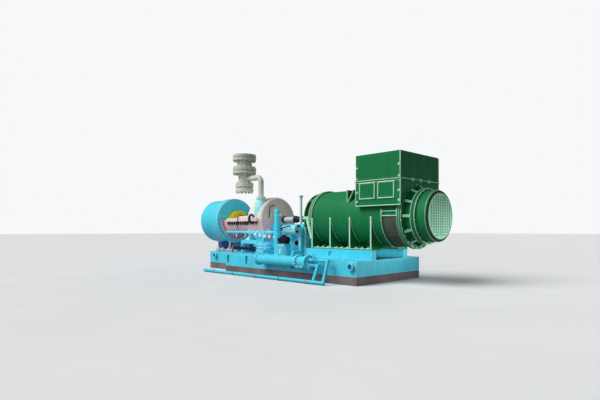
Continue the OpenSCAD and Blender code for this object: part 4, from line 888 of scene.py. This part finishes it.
HEADER_Y, HEADER_Z = -0.62, 1.03
header = Shape("oil_header_fittings", "pale_cyan_paint")
for x in steps(-2.80, -0.95, 6):
    header.hoop((x, HEADER_Y, HEADER_Z), ALONG, 0.034, 0.006, 24, 6)
for x in (-2.45, -2.05, -1.62):
    header.rod((x, HEADER_Y, HEADER_Z), (x, HEADER_Y, 0.90), 0.014, 10)
for x in (-1.05, -1.45, -1.85):
    header.valve((x, HEADER_Y, HEADER_Z), ALONG, (0, -0.5, 1), 0.030, wheel=False)
header.rod((-1.24, -0.655, 0.86), (-1.24, -0.655, 1.09), 0.016, 10)

GAUGE = [(0.034, 0), (0.042, 0.004), (0.042, 0.022), (0.034, 0.028)]
gauges = Shape("oil_gauges", "pale_cyan_paint", WHITE)
for x, z in ((-1.56, 0.975), (-1.36, 0.95), (-1.16, 0.935), (-0.98, 0.925), (-0.78, 0.91)):
    gauges.lathe(GAUGE, at((x, -0.655, z), FORWARD), 24)
    gauges.rod((x, -0.645, z), (x, -0.635, HEADER_Z), 0.008, 8)

OIL_VALVE_Y = -0.66
oil_valves = Shape("oil_valves", "cyan_paint")
for x, z in ((-1.45, 0.83), (-0.92, 0.80), (-0.48, 0.86)):
    oil_valves.tube([(x, OIL_VALVE_Y, DECK_TOP), (x, OIL_VALVE_Y, z)], 0.014, 10)
    oil_valves.valve((x, OIL_VALVE_Y, z - 0.14), UP, (0, -1, 0.2), 0.026)

COOLER_Y, COOLER_Z, COOLER_X = -1.271, 0.415, ends("oil_cooler", X)
HEAD_X, COOLER_FLANGE_T = ends("oil_cooler_head", X), 0.032
cooler = Shape("cooler_nuts", "pale_cyan_paint")
for x, out in ((COOLER_X[0] + COOLER_FLANGE_T, ALONG), (COOLER_X[1] - COOLER_FLANGE_T, LEFT),
               (HEAD_X[0] + COOLER_FLANGE_T, ALONG)):
    cooler.nuts(around_level((x, COOLER_Y, COOLER_Z), 0.133, 12, 15), out, 0.013)
cooler.nuts(around_level((HEAD_X[1], COOLER_Y, COOLER_Z), 0.075, 12, 15), ALONG, 0.011)
cooler.nuts([(x, COOLER_Y - 0.04, 0.47) for x in (1.18, 1.46)], FORWARD, 0.016)
for x in (0.83, 0.95):
    cooler.valve((x, COOLER_Y - 0.10, COOLER_Z - 0.10), ALONG, FORWARD, 0.016, wheel=False)

NOZZLE_TOP, NOZZLE_BACK = COOLER_Z + 0.20, -1.02
nozzles = Shape("cooler_nozzles", "cyan_paint")
for x in (COOLER_X[0] + 0.18, COOLER_X[1] - 0.18):
    nozzles.tube([(x, COOLER_Y, COOLER_Z + 0.10), (x, COOLER_Y, NOZZLE_TOP), (x, NOZZLE_BACK, NOZZLE_TOP),
                  (x, NOZZLE_BACK, DECK_TOP)], 0.032, 14, 0.06)
    nozzles.lathe([(0.055, 0), (0.055, 0.014)], at((x, COOLER_Y, COOLER_Z + 0.125)), 20)
for x in (COOLER_X[0] + 0.35, COOLER_X[1] - 0.35):
    nozzles.band((x, COOLER_Y, COOLER_Z), ALONG, 0.1145, 0.119, 0.05, 48, 0.001)
nozzles.valve((1.25, COOLER_Y, 0.47), ALONG, (0, -0.4, 1), 0.030)
nozzles.valve((1.18, COOLER_Y, 0.35), ALONG, FORWARD, 0.030)

FLOOR_PIPE_Y, FLOOR_PIPE_Z, CLIP_HALF = -1.475, 0.045, 0.02
pipe_clamps = Shape("floor_pipe_clamps", "dark_steel", ZINC)
for x in steps(-2.2, 1.2, 5):
    pipe_clamps.band((x, FLOOR_PIPE_Y, FLOOR_PIPE_Z), ALONG, 0.0345, 0.040, 2 * CLIP_HALF, 24, 0.001)
    pipe_clamps.block((x - CLIP_HALF, FLOOR_PIPE_Y - 0.038, 0.001),
                      (x + CLIP_HALF, FLOOR_PIPE_Y + 0.085, 0.012), 0.002)


# Skid

slot_backs = Shape("skid_slot_backs", "cyan_paint")
for side in SIDES:
    y0, y1 = across(side, 1.06, 1.07)
    for x in (-2.167, -1.372):
        slot_backs.block((x - 0.03, y0, 0.20), (x + 0.15, y1, 0.455), 0.002)

anchors = Shape("skid_anchor_nuts", "cyan_paint")
for side in SIDES:
    anchors.nuts([(x, side * 1.05, DECK_TOP) for x in steps(-2.05, 1.85, 6)], UP, 0.022)
    anchors.nuts([(x, side * 0.68, DECK_TOP) for x in steps(0.48, 2.0, 5)], UP, 0.016)

rims = Shape("lifting_pipe_rims", "pale_cyan_paint")
for node in ("lifting_pipe_generator_end", "lifting_pipe_turbine_end"):
    low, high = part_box(node)
    middle = (low + high) / 2
    for y, out in ((low.y + 0.012, -1), (high.y - 0.012, 1)):
        rims.band((middle.x, y, middle.z), (0, out, 0), 0.0745, 0.082, 0.018, 40, 0.003)


# Shaft line

coupling_bolts = Shape("coupling_bolts", "dark_steel", ZINC, "rotor")
for x, out in ((-0.70, ALONG), (-1.19, LEFT)):
    coupling_bolts.bolts(around_shaft(x, 0.082, 8, 22.5), out, 0.008)
for x in (-1.12, -0.77):
    coupling_bolts.band((x, 0, SHAFT_Z), ALONG, 0.0695, 0.074, 0.012, 40, 0.001)

for shape in SHAPES:
    shape.make()


# Stage, light and camera

def floor_finish():
    """Pale where it is seen, darker for the light that it throws back on the part."""
    f = Finish("floor")
    rays = f.node("LightPath").outputs
    seen = f.math("MAXIMUM", rays["Is Camera Ray"], rays["Is Glossy Ray"])
    seen = f.math("MAXIMUM", seen, rays["Is Transmission Ray"])
    slow = f.spread(f.noise(0.6, 3.0), 0.3, 0.7)
    pale = f.mix(slow, (0.84, 0.85, 0.86, 1), (0.88, 0.88, 0.89, 1))
    return f.set(f.mix(seen, (0.16, 0.16, 0.16, 1), pale), 0.9, 0.0, 0.1)


FLOOR_REACH, FLOOR_Z = 120.0, -0.002
CORNERS = ((-1, -1), (1, -1), (1, 1), (-1, 1))
floor_mesh = bpy.data.meshes.new("floor")
floor_mesh.from_pydata([(x * FLOOR_REACH, y * FLOOR_REACH, FLOOR_Z) for x, y in CORNERS], [], [(0, 1, 2, 3)])
floor_mesh.materials.append(floor_finish())
floor = bpy.data.objects.new("floor", floor_mesh)
bpy.context.scene.collection.objects.link(floor)

world = bpy.data.worlds.new("studio")
bpy.context.scene.world = world
world.use_nodes = True
tree = world.node_tree
tree.nodes.clear()
lighting = add_node(tree, "Background", {"Color": (0.95, 0.98, 1.0, 1), "Strength": 0.2})
backdrop = add_node(tree, "Background", {"Color": (0.93, 0.94, 0.95, 1), "Strength": 1.0})
seen = add_node(tree, "LightPath").outputs["Is Camera Ray"]
mixer = add_node(tree, "MixShader", {0: seen, 1: lighting.outputs[0], 2: backdrop.outputs[0]})
add_node(tree, "OutputWorld", {0: mixer.outputs[0]})


def lamp(name, kind, position, target, energy, **settings):
    """A lamp aimed at a point and hidden from the camera."""
    data = bpy.data.lights.new(name, kind)
    data.energy = energy
    for key, value in settings.items():
        setattr(data, key, value)
    item = bpy.data.objects.new(name, data)
    item.location = position
    item.rotation_euler = (Vector(target) - Vector(position)).to_track_quat("-Z", "Y").to_euler()
    item.visible_camera = False
    bpy.context.scene.collection.objects.link(item)


lamp("key", "SUN", (-4.4, -7.7, 10.7), (0, 0, 0.8), 2.55, angle=math.radians(40))
lamp("end_fill", "AREA", (7.6, 3.2, 0.75), (2.7, 0, 0.78), 7.0, shape="RECTANGLE", size=2.2, size_y=0.7,
     spread=math.radians(26))
lamp("turbine_fill", "AREA", (6.0, -6.4, 1.3), (-3.0, 0, 1.3), 3.0, shape="RECTANGLE", size=1.2, size_y=0.8,
     spread=math.radians(16))
lamp("front_fill", "SUN", (0.5, -9.0, 1.6), (0, 0, 0.7), 0.62, angle=math.radians(35))
lamp("back_fill", "SUN", (-1.5, 9.0, 2.6), (0, 0, 0.7), 0.6, angle=math.radians(60))
lamp("low_fill", "AREA", (7.8, -5.75, 0.60), (1.9, 0.494, 0.575), 0.25, shape="RECTANGLE", size=0.7,
     size_y=0.06, spread=math.radians(2.5))

camera_data = bpy.data.cameras.new("camera")
camera_data.lens = 27.0
camera_data.sensor_width = 36.0
camera_data.shift_x = -0.0506
camera_data.shift_y = 0.0494
camera = bpy.data.objects.new("camera", camera_data)
camera.location = (7.8456, -7.7815, 1.0978)
camera.rotation_euler = Vector((-0.6872, 0.7265, 0)).to_track_quat("-Z", "Y").to_euler()
bpy.context.scene.collection.objects.link(camera)
bpy.context.scene.camera = camera
bpy.context.scene.view_settings.view_transform = "Standard"
